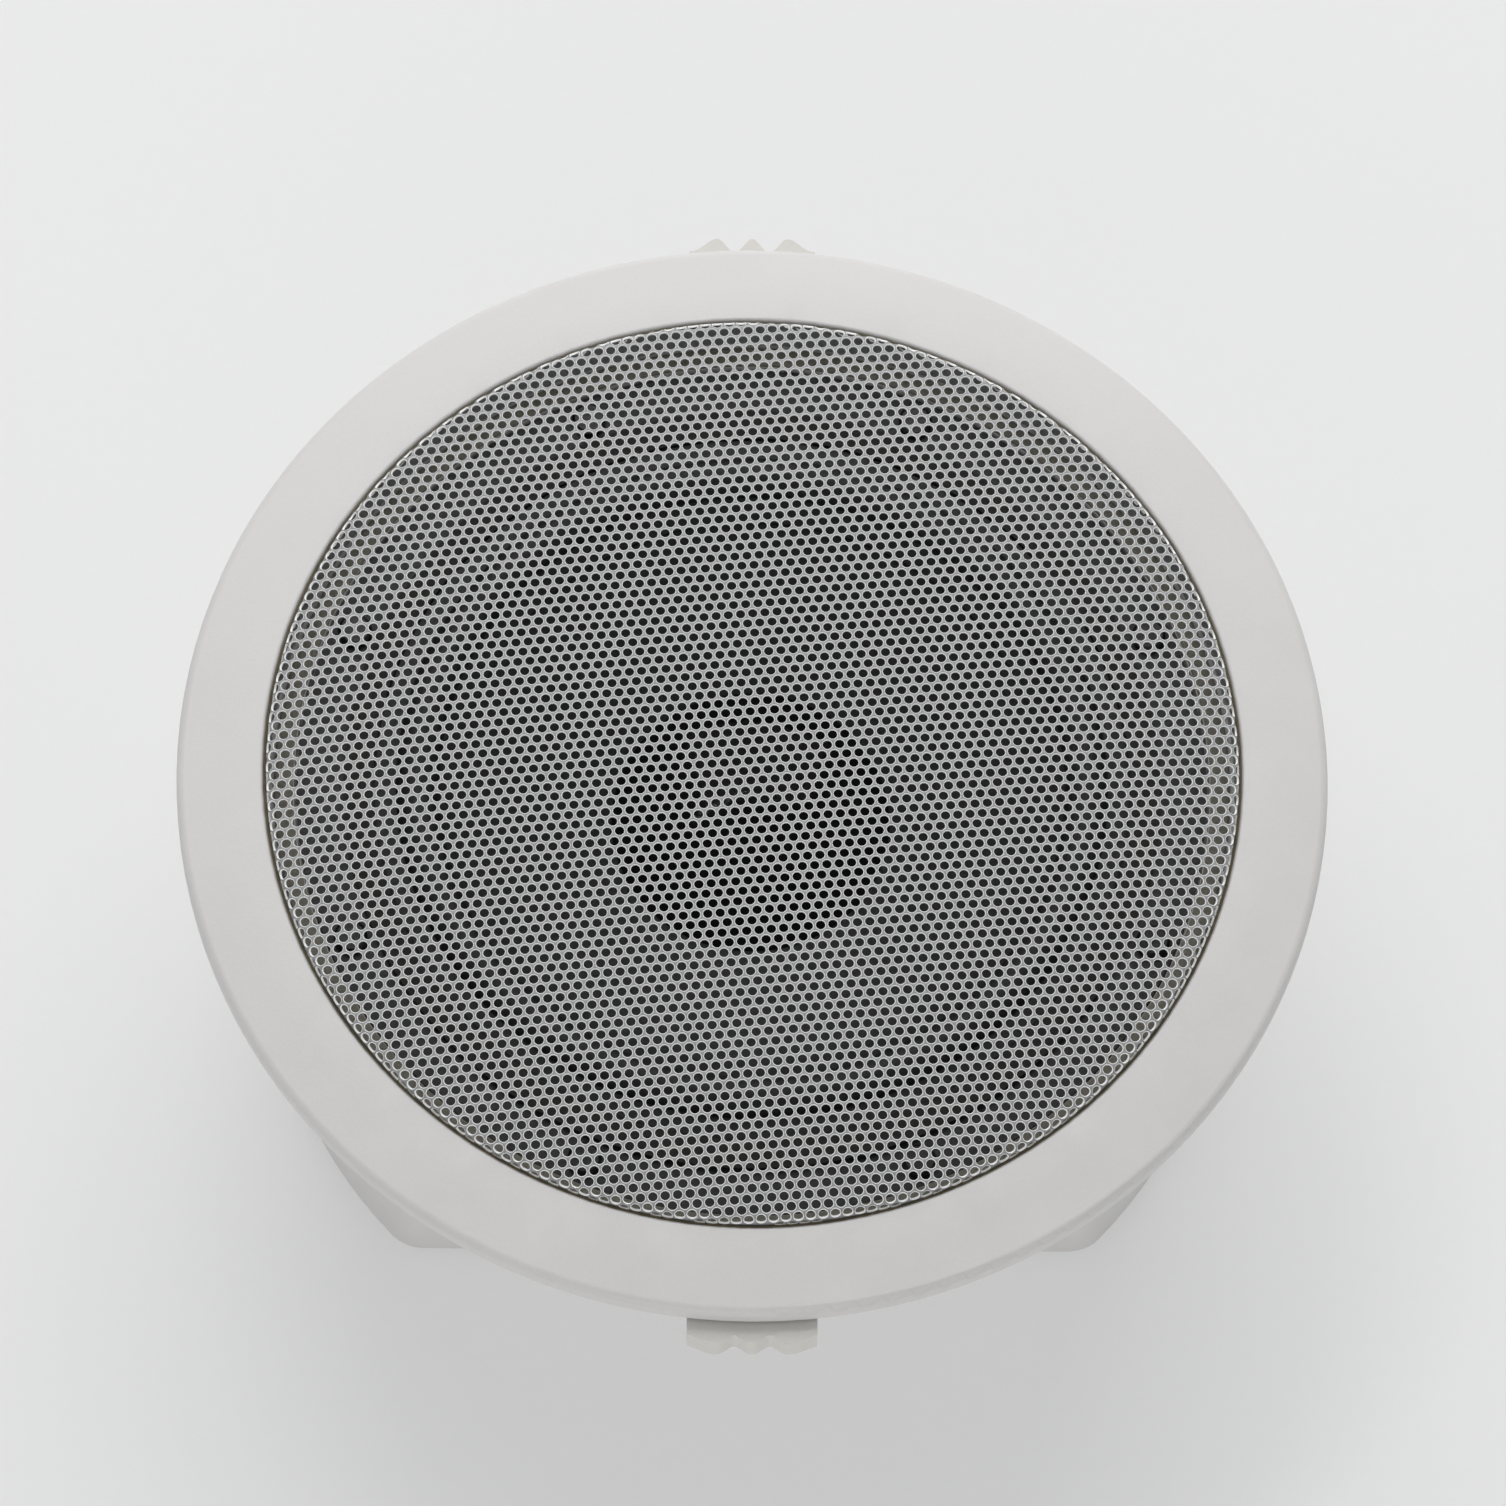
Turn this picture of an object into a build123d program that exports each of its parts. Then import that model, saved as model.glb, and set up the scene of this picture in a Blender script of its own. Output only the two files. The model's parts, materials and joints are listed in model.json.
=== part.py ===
from build123d import *
import math
import os

# An in-ceiling loudspeaker: a white flange ring with a domed perforated grille, a moulded back box,
# a cone driver on its suspension, and two spring clips that clamp the ceiling panel.
# Z is the speaker's axis and points out of the grille; z = 0 is the plane where the flange meets the
# ceiling, and heights behind it are negative. The clips lie on the Y axis. All sizes are in millimetres.

os.makedirs("parts", exist_ok=True)

# Flange ring and its recess
FLANGE_RADIUS = 115.0
RIM_HEIGHT = 4.0
RIM_ROUND = 2.0
RIM_WALL = 2.6
BEZEL_WIDTH = 17.4
LIP_HEIGHT = 6.7
LIP_CHAMFER = 0.8
BEZEL_WALL = 2.4
COLLAR_WALL = 3.0
LEDGE_DEPTH = 3.5
LEDGE_WIDTH = 5.9
SEAT_DEPTH = 6.5
SEAT_WALL = 3.0
THROAT_PLAY = 1.5
RIB_COUNT = 16
RIB_WALL = 1.6

# Grille: a pressed dish of perforated sheet
GRILLE_SHEET = 0.8
GRILLE_GAP = 1.1
GRILLE_RISE = 5.3
EDGE_ROLL = 1.5
DOME_DROP = 3.99
PERFORATION_MARGIN = 2.0
PERFORATION_PITCH = 16.0
PERFORATION_RATIO = 0.65
PERFORATION_SIDES = 6
GRILLE_ROLL_STEPS = 3

# Driver basket and its fasteners
BASKET_PLAY = 0.5
BASKET_FLANGE = 2.0
BASKET_SHEET = 1.5
BASKET_RIM = 18.2
FOOT_PLAY = 2.9
FOOT_STEP = 5.7
WINDOW_COUNT = 6
WINDOW_SHARE = 0.6
WINDOW_WIDTH = 32.0
WINDOW_ROUND = 3.0
BOLT_EDGE = 4.7
BOLT_COUNT = 8
SCREW_RADIUS = 1.8
SCREW_PLAY = 0.25
THREAD_PLAY = 0.02
HEAD_RADIUS = 3.4
HEAD_HEIGHT = 1.8
HEAD_CHAMFER = 0.6
DRIVER_SCREW_STOP = 0.3
BOX_SCREW_REACH = 16.0

# Moving system of the driver
GASKET_PLAY = 1.3
GASKET_HEIGHT = 1.4
ROLL_RADIUS = 4.0
ROLL_SIDES = 8
SURROUND_SKIN = 0.8
LANDING = 4.5
GLUE_LINE = 0.3
CONE_INSET = 10.0
CONE_DEPTH = 26.0
CONE_SKIN = 0.9
CAP_RADIUS = 28.0
CAP_HEIGHT = 8.0
CAP_SKIN = 0.8
CAP_BANDS = 4
COIL_RADIUS = 12.9
FORMER_WALL = 0.4
FORMER_STANDOUT = 3.0
WINDING_HEIGHT = 10.0
WINDING_BUILD = 0.8
SPIDER_DROP = 33.8
SPIDER_RADIUS = 43.0
SPIDER_SKIN = 0.8
SPIDER_WAVE = 1.6
SPIDER_WAVES = 2
SPIDER_COLLAR = 3.0
SPIDER_LEDGE = 6.0

# Motor
MAGNETIC_GAP = 0.7
PLATE_RADIUS = 38.0
PLATE_THICKNESS = 6.0
MAGNET_RADIUS = 45.0
MAGNET_BORE = 24.0
MAGNET_THICKNESS = 14.0
YOKE_RADIUS = 40.0
YOKE_THICKNESS = 5.0

# Back box
SEAL_THICKNESS = 1.0
BOX_STEP = 0.4
BOX_TAPER = 2.3
FLAT_CLEARANCE = 8.0
FLAT_TAPER = 10.4
BOX_DEPTH = 86.5
BOX_WALL = 2.5
BOX_CORNER = 9.0
BOX_BACK_ROUND = 4.0
BOSS_WALL = 2.6
BOSS_LENGTH = 24.0
BOSS_WEB = 2.5

# Spring clips
CLIP_WIDTH = 25.6
CLIP_SIDE_PLAY = 0.4
CLIP_REACH = 4.2
CLIP_TIP_HEIGHT = 6.6
CLIP_SEAT_GAP = 0.8
CLIP_BODY_GAP = 0.8
CLIP_WALL = 3.2
CLIP_WEB = 2.4
RIDGE_PITCH = 7.1
RIDGE_COUNT = 3
RIDGE_RADIUS = 3.1
RIDGE_HEIGHT = 2.2
PIVOT_INSET = 12.6
PIVOT_DEPTH = 18.0
HUB_RADIUS = 5.0
PIN_RADIUS = 2.0
PIN_FIT = 0.02
PIN_PLAY = 0.06
PIN_STANDOUT = 0.6
EAR_WALL = 3.0
SPRING_WIRE = 1.2
SPRING_TURNS = 6
SPRING_PLAY = 0.5
SPRING_SEAT = 0.2
SPRING_LEG = 13.0

# Electrical path
TERMINAL_LENGTH = 30.0
TERMINAL_WIDTH = 20.0
TERMINAL_HEIGHT = 11.0
TERMINAL_PLAY = 0.3
TERMINAL_SINK = 1.5
TERMINAL_INSET = 34.7
POLE_COUNT = 2
POLE_PITCH = 10.0
CABLE_HOLE_RADIUS = 2.2
CABLE_HOLE_DEPTH = 7.0
STRIP_WIDTH = 20.0
STRIP_GAP = 0.6
STRIP_THICKNESS = 1.6
TAB_WIDTH = 4.8
TAB_THICKNESS = 0.8
LEAD_RADIUS = 1.0
LEAD_PLAY = 0.2
LEAD_CLEARANCE = 4.7
LEAD_SIDES = 6

# Heights and radii that follow from the sizes above
LIP_RADIUS = FLANGE_RADIUS - BEZEL_WIDTH
COLLAR_RADIUS = LIP_RADIUS + COLLAR_WALL
OPENING_RADIUS = LIP_RADIUS - LEDGE_WIDTH
RIM_INSIDE = FLANGE_RADIUS - RIM_WALL
SEAT_Z = -SEAT_DEPTH
BODY_Z = SEAT_Z - SEAT_WALL
APEX_Z = LIP_HEIGHT + GRILLE_RISE
GRILLE_RADIUS = LIP_RADIUS - GRILLE_GAP
DOME_RADIUS = GRILLE_RADIUS - EDGE_ROLL
PERFORATED_RADIUS = DOME_RADIUS - PERFORATION_MARGIN
PERFORATION_RADIUS = PERFORATION_PITCH * PERFORATION_RATIO / 2
BASKET_RADIUS = OPENING_RADIUS - BASKET_PLAY
BASKET_MOUTH = BASKET_RADIUS - BASKET_RIM
THROAT_RADIUS = BASKET_MOUTH + BASKET_SHEET + THROAT_PLAY
BOLT_RADIUS = BASKET_RADIUS - BOLT_EDGE
FLANGE_Z = SEAT_Z + BASKET_FLANGE
SPIDER_Z = FLANGE_Z - SPIDER_DROP
PLATE_Z = SPIDER_Z - FOOT_STEP
MAGNET_Z = PLATE_Z - PLATE_THICKNESS
YOKE_Z = MAGNET_Z - MAGNET_THICKNESS
FORMER_RADIUS = COIL_RADIUS + FORMER_WALL
WINDING_RADIUS = FORMER_RADIUS + WINDING_BUILD
BASKET_FOOT = WINDING_RADIUS + FOOT_PLAY
CONE_RADIUS = BASKET_MOUTH - CONE_INSET
CONE_SLOPE = CONE_DEPTH / (CONE_RADIUS - FORMER_RADIUS)
CONE_STRETCH = math.hypot(1, CONE_SLOPE)
LANDING_Z = FLANGE_Z + SURROUND_SKIN / 2
CONE_EDGE_Z = LANDING_Z - (SURROUND_SKIN / 2 + GLUE_LINE) * CONE_STRETCH
PIVOT_RADIUS = COLLAR_RADIUS - PIVOT_INSET
BOX_TOP_Z = BODY_Z - SEAL_THICKNESS
BOX_BACK_Z = -BOX_DEPTH
BOX_FRONT_RADIUS = COLLAR_RADIUS + BOX_STEP
BOX_BACK_RADIUS = BOX_FRONT_RADIUS - BOX_TAPER
BOX_FRONT_FLAT = PIVOT_RADIUS - FLAT_CLEARANCE
BOX_BACK_FLAT = BOX_FRONT_FLAT - FLAT_TAPER
TERMINAL_OFFSET = BOX_BACK_RADIUS - TERMINAL_INSET
PIVOT_Z = -PIVOT_DEPTH
EAR_INSIDE = CLIP_WIDTH / 2 + CLIP_SIDE_PLAY
SPRING_RADIUS = PIN_RADIUS + SPRING_PLAY + SPRING_WIRE / 2
SPRING_LENGTH = SPRING_TURNS * SPRING_WIRE
LEG_LINE = SPRING_RADIUS - SPRING_WIRE / 4
LEG_LEAD = math.sqrt(SPRING_RADIUS**2 - LEG_LINE**2)


def bezel_z(radius):
    """Height of the sloping bezel face at a radius."""
    return RIM_HEIGHT + (LIP_HEIGHT - RIM_HEIGHT) * (FLANGE_RADIUS - radius) / (FLANGE_RADIUS - LIP_RADIUS)


def cone_z(radius):
    """Height of the cone's front face at a radius."""
    return CONE_EDGE_Z - CONE_SLOPE * (CONE_RADIUS - radius)


def flat_y(z):
    """Distance of the box's outer flat from the axis at a height."""
    return BOX_FRONT_FLAT + (BOX_BACK_FLAT - BOX_FRONT_FLAT) * (BOX_TOP_Z - z) / (BOX_TOP_Z - BOX_BACK_Z)


def bolt_places(beside_clips):
    """Centres of the flange's bolts: those on the clips' sides, or those on the other two sides."""
    places = []
    for index in range(BOLT_COUNT):
        angle = (index + 0.5) * 2 * math.pi / BOLT_COUNT
        x, y = BOLT_RADIUS * math.cos(angle), BOLT_RADIUS * math.sin(angle)
        if (abs(y) > abs(x)) == beside_clips:
            places.append((x, y))
    return places


def ring(inner_radius, outer_radius, bottom, height):
    """Plain ring about the axis."""
    with BuildPart() as piece:
        with BuildSketch(Plane.XY.offset(bottom)):
            Circle(outer_radius)
            Circle(inner_radius, mode=Mode.SUBTRACT)
        extrude(amount=height)
    return piece


def finish(piece, name):
    """Label a piece and write it."""
    piece.part.label = name
    export_step(piece.part, f"parts/{name}.step")


# Bezel frame: flange ring, grille recess, driver seat and clip ears in one moulding
with BuildPart() as bezel_frame:
    with BuildSketch(Plane.XZ) as bezel_section:
        with BuildLine():
            Polyline(
                (FLANGE_RADIUS, 0),
                (FLANGE_RADIUS, RIM_HEIGHT),
                (LIP_RADIUS, LIP_HEIGHT),
                (LIP_RADIUS, -LEDGE_DEPTH),
                (OPENING_RADIUS, -LEDGE_DEPTH),
                (OPENING_RADIUS, SEAT_Z),
                (THROAT_RADIUS, SEAT_Z),
                (THROAT_RADIUS, BODY_Z),
                (COLLAR_RADIUS, BODY_Z),
                (COLLAR_RADIUS, bezel_z(COLLAR_RADIUS) - BEZEL_WALL),
                (RIM_INSIDE, bezel_z(RIM_INSIDE) - BEZEL_WALL),
                (RIM_INSIDE, 0),
                close=True,
            )
        make_face()
        chamfer(bezel_section.vertices().sort_by(Axis.Y)[-1], LIP_CHAMFER)
        fillet(bezel_section.vertices().group_by(Axis.X)[-1].sort_by(Axis.Y)[-1], RIM_ROUND)
    revolve(axis=Axis.Z)
    # Stiffening ribs in the hollow behind the bezel
    with BuildSketch():
        with PolarLocations((COLLAR_RADIUS + RIM_INSIDE) / 2, RIB_COUNT, start_angle=180 / RIB_COUNT):
            Rectangle(RIM_INSIDE - COLLAR_RADIUS + RIM_WALL, RIB_WALL)
    extrude(amount=bezel_z(RIM_INSIDE) - BEZEL_WALL / 2)
    # Two pairs of ears carry the clip pins
    for side in (-1, 1):
        for ear_x in (-EAR_INSIDE - EAR_WALL, EAR_INSIDE):
            with BuildSketch(Plane.YZ.offset(ear_x)):
                with Locations((side * PIVOT_RADIUS, BODY_Z)):
                    Rectangle(2 * HUB_RADIUS, BODY_Z - PIVOT_Z, align=(Align.CENTER, Align.MAX))
                with Locations((side * PIVOT_RADIUS, PIVOT_Z)):
                    Circle(HUB_RADIUS)
                    Circle(PIN_RADIUS + PIN_FIT, mode=Mode.SUBTRACT)
            extrude(amount=EAR_WALL)
    with BuildSketch(Plane.XY.offset(SEAT_Z)):
        with Locations(*bolt_places(beside_clips=True)):
            Circle(SCREW_RADIUS + THREAD_PLAY)
        with Locations(*bolt_places(beside_clips=False)):
            Circle(SCREW_RADIUS + SCREW_PLAY)
    extrude(amount=-SEAT_WALL, mode=Mode.SUBTRACT)
finish(bezel_frame, "bezel_frame")

# Grille: shallow dome, rolled edge and a skirt that stands on the ledge of the frame
PERFORATION_LIMIT = PERFORATED_RADIUS - PERFORATION_RADIUS
ROW_STEP = PERFORATION_PITCH * math.sqrt(3) / 2
ROWS = math.ceil(PERFORATION_LIMIT / ROW_STEP) + 1
lattice = [
    (PERFORATION_PITCH * (column + 0.5 * (row % 2)), ROW_STEP * row)
    for row in range(-ROWS, ROWS + 1)
    for column in range(-ROWS, ROWS + 1)
]
perforations = [place for place in lattice if math.hypot(*place) <= PERFORATION_LIMIT]
dome_curve = (DOME_RADIUS**2 + DOME_DROP**2) / (2 * DOME_DROP)
edge_fall = math.asin(DOME_RADIUS / dome_curve)
roll_radius = EDGE_ROLL / (1 - math.sin(edge_fall))
roll_sweep = math.degrees(math.acos(DOME_RADIUS / dome_curve))

with BuildPart() as grille:
    # Perforated middle, cut from between two spheres that lie on their side
    with BuildSketch():
        Circle(PERFORATED_RADIUS)
        with Locations(*perforations):
            RegularPolygon(PERFORATION_RADIUS, PERFORATION_SIDES, mode=Mode.SUBTRACT)
    extrude(amount=APEX_Z + GRILLE_SHEET)
    with Locations((0, 0, APEX_Z - dome_curve)):
        Sphere(dome_curve, rotation=(90, 0, 0), mode=Mode.INTERSECT)
        Sphere(dome_curve - GRILLE_SHEET, rotation=(90, 0, 0), mode=Mode.SUBTRACT)
    # Plain margin, rolled edge and skirt
    with BuildSketch(Plane.XZ):
        with BuildLine():
            dome = TangentArc((0, APEX_Z), (DOME_RADIUS, APEX_Z - DOME_DROP), tangent=(1, 0))
            roll = JernArc(dome @ 1, dome % 1, roll_radius, -roll_sweep, mode=Mode.PRIVATE)
            roll_points = [roll @ (step / GRILLE_ROLL_STEPS) for step in range(GRILLE_ROLL_STEPS + 1)]
            Polyline(*roll_points, (GRILLE_RADIUS, -LEDGE_DEPTH))
            offset(amount=GRILLE_SHEET, side=Side.RIGHT, kind=Kind.INTERSECTION)
        make_face()
        Rectangle(2 * PERFORATED_RADIUS, 4 * APEX_Z, mode=Mode.SUBTRACT)
    revolve(axis=Axis.Z)
finish(grille, "grille")

# Basket: pressed steel frame with a bolted flange, open windows, a ledge for the spider and a foot
ledge_inside = SPIDER_RADIUS - SPIDER_LEDGE
window_length = WINDOW_SHARE * (BASKET_MOUTH - SPIDER_RADIUS)
with BuildPart() as driver_basket:
    with BuildSketch(Plane.XZ):
        with BuildLine():
            Polyline(
                (BASKET_RADIUS, FLANGE_Z),
                (BASKET_MOUTH, FLANGE_Z),
                (SPIDER_RADIUS, SPIDER_Z),
                (ledge_inside, SPIDER_Z),
                (ledge_inside, PLATE_Z + BASKET_SHEET),
                (BASKET_FOOT, PLATE_Z + BASKET_SHEET),
                (BASKET_FOOT, PLATE_Z),
                (ledge_inside + BASKET_SHEET, PLATE_Z),
                (ledge_inside + BASKET_SHEET, SPIDER_Z - BASKET_SHEET),
                (SPIDER_RADIUS + BASKET_SHEET, SPIDER_Z - BASKET_SHEET),
                (BASKET_MOUTH + BASKET_SHEET, SEAT_Z),
                (BASKET_RADIUS, SEAT_Z),
                close=True,
            )
        make_face()
    revolve(axis=Axis.Z)
    with BuildSketch(Plane.XY.offset(SPIDER_Z - BASKET_SHEET)):
        with PolarLocations((BASKET_MOUTH + SPIDER_RADIUS) / 2, WINDOW_COUNT):
            RectangleRounded(window_length, WINDOW_WIDTH, WINDOW_ROUND)
    extrude(amount=FLANGE_Z - SPIDER_Z, mode=Mode.SUBTRACT)
    with BuildSketch(Plane.XY.offset(FLANGE_Z)):
        with Locations(*bolt_places(True), *bolt_places(False)):
            Circle(SCREW_RADIUS + SCREW_PLAY)
    extrude(amount=-BASKET_FLANGE, mode=Mode.SUBTRACT)
finish(driver_basket, "driver_basket")

# Gasket ring on the basket's flange, around the glued edge of the surround
roll_centre = CONE_RADIUS + ROLL_RADIUS
landing_end = roll_centre + ROLL_RADIUS + LANDING
gasket_outside = BOLT_RADIUS - HEAD_RADIUS - GASKET_PLAY
gasket_ring = ring(landing_end + GLUE_LINE, gasket_outside, FLANGE_Z, GASKET_HEIGHT)
finish(gasket_ring, "gasket_ring")

# Surround: rubber half roll between the flange and the edge of the cone
skin_rise = SURROUND_SKIN / 2 * CONE_STRETCH
roll_foot = CONE_RADIUS + SURROUND_SKIN / 2
with BuildPart() as surround:
    with BuildSketch(Plane.XZ):
        with Locations((roll_centre, LANDING_Z)):
            RegularPolygon(ROLL_RADIUS + SURROUND_SKIN / 2, ROLL_SIDES)
            RegularPolygon(ROLL_RADIUS - SURROUND_SKIN / 2, ROLL_SIDES, mode=Mode.SUBTRACT)
            Rectangle(4 * ROLL_RADIUS, 2 * ROLL_RADIUS, align=(Align.CENTER, Align.MAX), mode=Mode.SUBTRACT)
        with Locations((landing_end, LANDING_Z)):
            Rectangle(LANDING + SURROUND_SKIN / 2, SURROUND_SKIN, align=(Align.MAX, Align.CENTER))
        with BuildLine():
            Polyline(
                (roll_foot, LANDING_Z + CONE_SLOPE * SURROUND_SKIN / 2 - skin_rise),
                (roll_foot, LANDING_Z + CONE_SLOPE * SURROUND_SKIN / 2 + skin_rise),
                (CONE_RADIUS - LANDING, LANDING_Z - CONE_SLOPE * LANDING + skin_rise),
                (CONE_RADIUS - LANDING, LANDING_Z - CONE_SLOPE * LANDING - skin_rise),
                close=True,
            )
        make_face()
    revolve(axis=Axis.Z)
finish(surround, "surround")

# Cone: thin paper shell from the surround down to the coil former
neck_radius = FORMER_RADIUS + GLUE_LINE / 2
cone_back = CONE_SKIN * CONE_STRETCH
with BuildPart() as cone:
    with BuildSketch(Plane.XZ):
        with BuildLine():
            Polyline(
                (CONE_RADIUS, cone_z(CONE_RADIUS)),
                (neck_radius, cone_z(neck_radius)),
                (neck_radius, cone_z(neck_radius) - cone_back),
                (CONE_RADIUS, cone_z(CONE_RADIUS) - cone_back),
                close=True,
            )
        make_face()
    revolve(axis=Axis.Z)
finish(cone, "cone")

# Dust cap: glossy domed shell glued to the cone's front
cap_foot_z = cone_z(CAP_RADIUS) + GLUE_LINE / 2
cap_steps = [step / CAP_BANDS for step in range(CAP_BANDS)]
cap_curve = [(CAP_RADIUS * step, cap_foot_z + CAP_HEIGHT * (1 - step**2)) for step in cap_steps]
with BuildPart() as dust_cap:
    with BuildSketch(Plane.XZ):
        with BuildLine():
            Polyline(
                *cap_curve,
                (CAP_RADIUS, cap_foot_z),
                (CAP_RADIUS - CAP_SKIN, cap_foot_z - CONE_SLOPE * CAP_SKIN),
                *[(r, z - CAP_SKIN) for r, z in reversed(cap_curve)],
                close=True,
            )
        make_face()
    revolve(axis=Axis.Z)
finish(dust_cap, "dust_cap")

# Voice coil: former with its winding, centred on the top plate
winding_top = PLATE_Z - PLATE_THICKNESS / 2 + WINDING_HEIGHT / 2
former_top = cone_z(neck_radius) + FORMER_STANDOUT
with BuildPart() as voice_coil:
    with BuildSketch(Plane.XZ):
        with BuildLine():
            Polyline(
                (COIL_RADIUS, former_top),
                (FORMER_RADIUS, former_top),
                (FORMER_RADIUS, winding_top),
                (WINDING_RADIUS, winding_top),
                (WINDING_RADIUS, winding_top - WINDING_HEIGHT),
                (COIL_RADIUS, winding_top - WINDING_HEIGHT),
                close=True,
            )
        make_face()
    revolve(axis=Axis.Z)
finish(voice_coil, "voice_coil")

# Spider: corrugated disc that centres the coil
spider_inside = FORMER_RADIUS + GLUE_LINE
wave_start = spider_inside + SPIDER_COLLAR
wave_end = ledge_inside - SPIDER_SKIN
wave_step = (wave_end - wave_start) / (2 * SPIDER_WAVES)
spider_path = [(spider_inside, 0), (wave_start, 0)]
for crest in range(1, 2 * SPIDER_WAVES):
    spider_path.append((wave_start + crest * wave_step, SPIDER_WAVE / 2 * (-1) ** crest))
spider_path += [(wave_end, 0), (SPIDER_RADIUS - SPIDER_SKIN, 0)]
with BuildPart() as spider:
    with BuildSketch(Plane.XZ):
        with BuildLine():
            front = [(r, SPIDER_Z + z + SPIDER_SKIN) for r, z in spider_path]
            back = [(r, SPIDER_Z + z) for r, z in reversed(spider_path)]
            Polyline(*front, *back, close=True)
        make_face()
    revolve(axis=Axis.Z)
finish(spider, "spider")

# Motor: top plate, ring magnet and yoke with its pole
top_plate = ring(WINDING_RADIUS + MAGNETIC_GAP, PLATE_RADIUS, MAGNET_Z, PLATE_THICKNESS)
finish(top_plate, "top_plate")
magnet = ring(MAGNET_BORE, MAGNET_RADIUS, YOKE_Z, MAGNET_THICKNESS)
finish(magnet, "magnet")

with BuildPart() as yoke:
    with BuildSketch(Plane.XY.offset(YOKE_Z)):
        Circle(YOKE_RADIUS)
    extrude(amount=-YOKE_THICKNESS)
    with BuildSketch(Plane.XY.offset(YOKE_Z)):
        Circle(COIL_RADIUS - MAGNETIC_GAP)
    extrude(amount=PLATE_Z - YOKE_Z)
finish(yoke, "yoke")


def screws(places, tip_z):
    """Group of pan-head screws whose heads sit on the basket's flange."""
    with BuildPart() as group:
        with BuildSketch(Plane.XY.offset(FLANGE_Z)):
            with Locations(*places):
                Circle(HEAD_RADIUS)
        extrude(amount=HEAD_HEIGHT)
        chamfer(group.edges().group_by(Axis.Z)[-1], HEAD_CHAMFER)
        with BuildSketch(Plane.XY.offset(FLANGE_Z)):
            with Locations(*places):
                Circle(SCREW_RADIUS)
        extrude(amount=tip_z - FLANGE_Z)
    return group


# Four short screws hold the driver in the frame, four long ones also reach the back box
driver_screws = screws(bolt_places(beside_clips=True), BODY_Z + DRIVER_SCREW_STOP)
finish(driver_screws, "driver_screws")
box_screws = screws(bolt_places(beside_clips=False), BODY_Z - BOX_SCREW_REACH)
finish(box_screws, "box_screws")


def tub(inset):
    """Tapered round tub body with two sloping flats; inset moves every wall and the back inwards."""
    back_z = BOX_BACK_Z + inset
    with BuildPart() as body:
        with BuildSketch(Plane.XZ):
            with BuildLine():
                Polyline(
                    (0, BOX_TOP_Z),
                    (BOX_FRONT_RADIUS - inset, BOX_TOP_Z),
                    (BOX_BACK_RADIUS - inset, back_z),
                    (0, back_z),
                    close=True,
                )
            make_face()
        revolve(axis=Axis.Z)
        with BuildSketch(Plane.YZ):
            with BuildLine():
                Polyline(
                    (inset - BOX_FRONT_FLAT, BOX_TOP_Z),
                    (BOX_FRONT_FLAT - inset, BOX_TOP_Z),
                    (flat_y(back_z) - inset, back_z),
                    (inset - flat_y(back_z), back_z),
                    close=True,
                )
            make_face()
        extrude(amount=BOX_FRONT_RADIUS, both=True, mode=Mode.INTERSECT)
    return body.part


# Back box: moulded tub with screw bosses and a pocket for the terminal block
pocket_depth = TERMINAL_SINK + TERMINAL_HEIGHT
terminal_top = BOX_BACK_Z + pocket_depth
boss_radius = SCREW_RADIUS + BOSS_WALL
with BuildPart() as shell:
    add(tub(0))
    corners = shell.edges().group_by(Axis.Z)[1].filter_by(lambda edge: abs(edge.center().Y) > BOX_CORNER)
    fillet(corners, BOX_CORNER)
    fillet(shell.edges().group_by(Axis.Z)[0], BOX_BACK_ROUND)
    add(tub(BOX_WALL), mode=Mode.SUBTRACT)
rim_face = shell.faces().sort_by(Axis.Z)[-1]

# Webs that tie the screw bosses to the wall end half way through it
with BuildPart() as boss_webs:
    with BuildSketch(Plane.XY.offset(BOX_TOP_Z - BOX_WALL)):
        for x, y in bolt_places(beside_clips=False):
            with Locations(Location((x, y, 0), (0, 0, math.degrees(math.atan2(y, x))))):
                Rectangle(BOX_FRONT_RADIUS - BOLT_RADIUS, BOSS_WEB, align=(Align.MIN, Align.CENTER))
    extrude(amount=BOX_WALL - BOSS_LENGTH)
    add(tub(BOX_WALL / 2), mode=Mode.INTERSECT)

with BuildPart() as back_box:
    add(shell.part)
    with BuildSketch(Plane.XY.offset(BODY_Z)):
        with Locations(*bolt_places(beside_clips=False)):
            Circle(boss_radius)
    extrude(amount=-BOSS_LENGTH)
    add(boss_webs.part)
    with BuildSketch(Plane.XY.offset(BODY_Z)):
        with Locations(*bolt_places(beside_clips=False)):
            Circle(SCREW_RADIUS + THREAD_PLAY)
    extrude(amount=-BOSS_LENGTH, mode=Mode.SUBTRACT)
    # Pocket in the back
    with BuildSketch(Plane.XY.offset(BOX_BACK_Z)):
        with Locations((TERMINAL_OFFSET, 0)):
            Rectangle(
                TERMINAL_LENGTH + 2 * TERMINAL_PLAY + 2 * BOX_WALL,
                TERMINAL_WIDTH + 2 * TERMINAL_PLAY + 2 * BOX_WALL,
            )
    extrude(amount=pocket_depth + BOX_WALL)
    with BuildSketch(Plane.XY.offset(BOX_BACK_Z)):
        with Locations((TERMINAL_OFFSET, 0)):
            Rectangle(TERMINAL_LENGTH + 2 * TERMINAL_PLAY, TERMINAL_WIDTH + 2 * TERMINAL_PLAY)
    extrude(amount=pocket_depth, mode=Mode.SUBTRACT)
    with BuildSketch(Plane.XY.offset(terminal_top)):
        with Locations((TERMINAL_OFFSET, 0)):
            with GridLocations(0, POLE_PITCH, 1, POLE_COUNT):
                Circle(LEAD_RADIUS + LEAD_PLAY)
    extrude(amount=BOX_WALL, mode=Mode.SUBTRACT)
finish(back_box, "back_box")

# Foam seal between the frame and the rim of the box
with BuildPart() as box_seal:
    extrude(rim_face, amount=SEAL_THICKNESS)
finish(box_seal, "box_seal")

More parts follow.
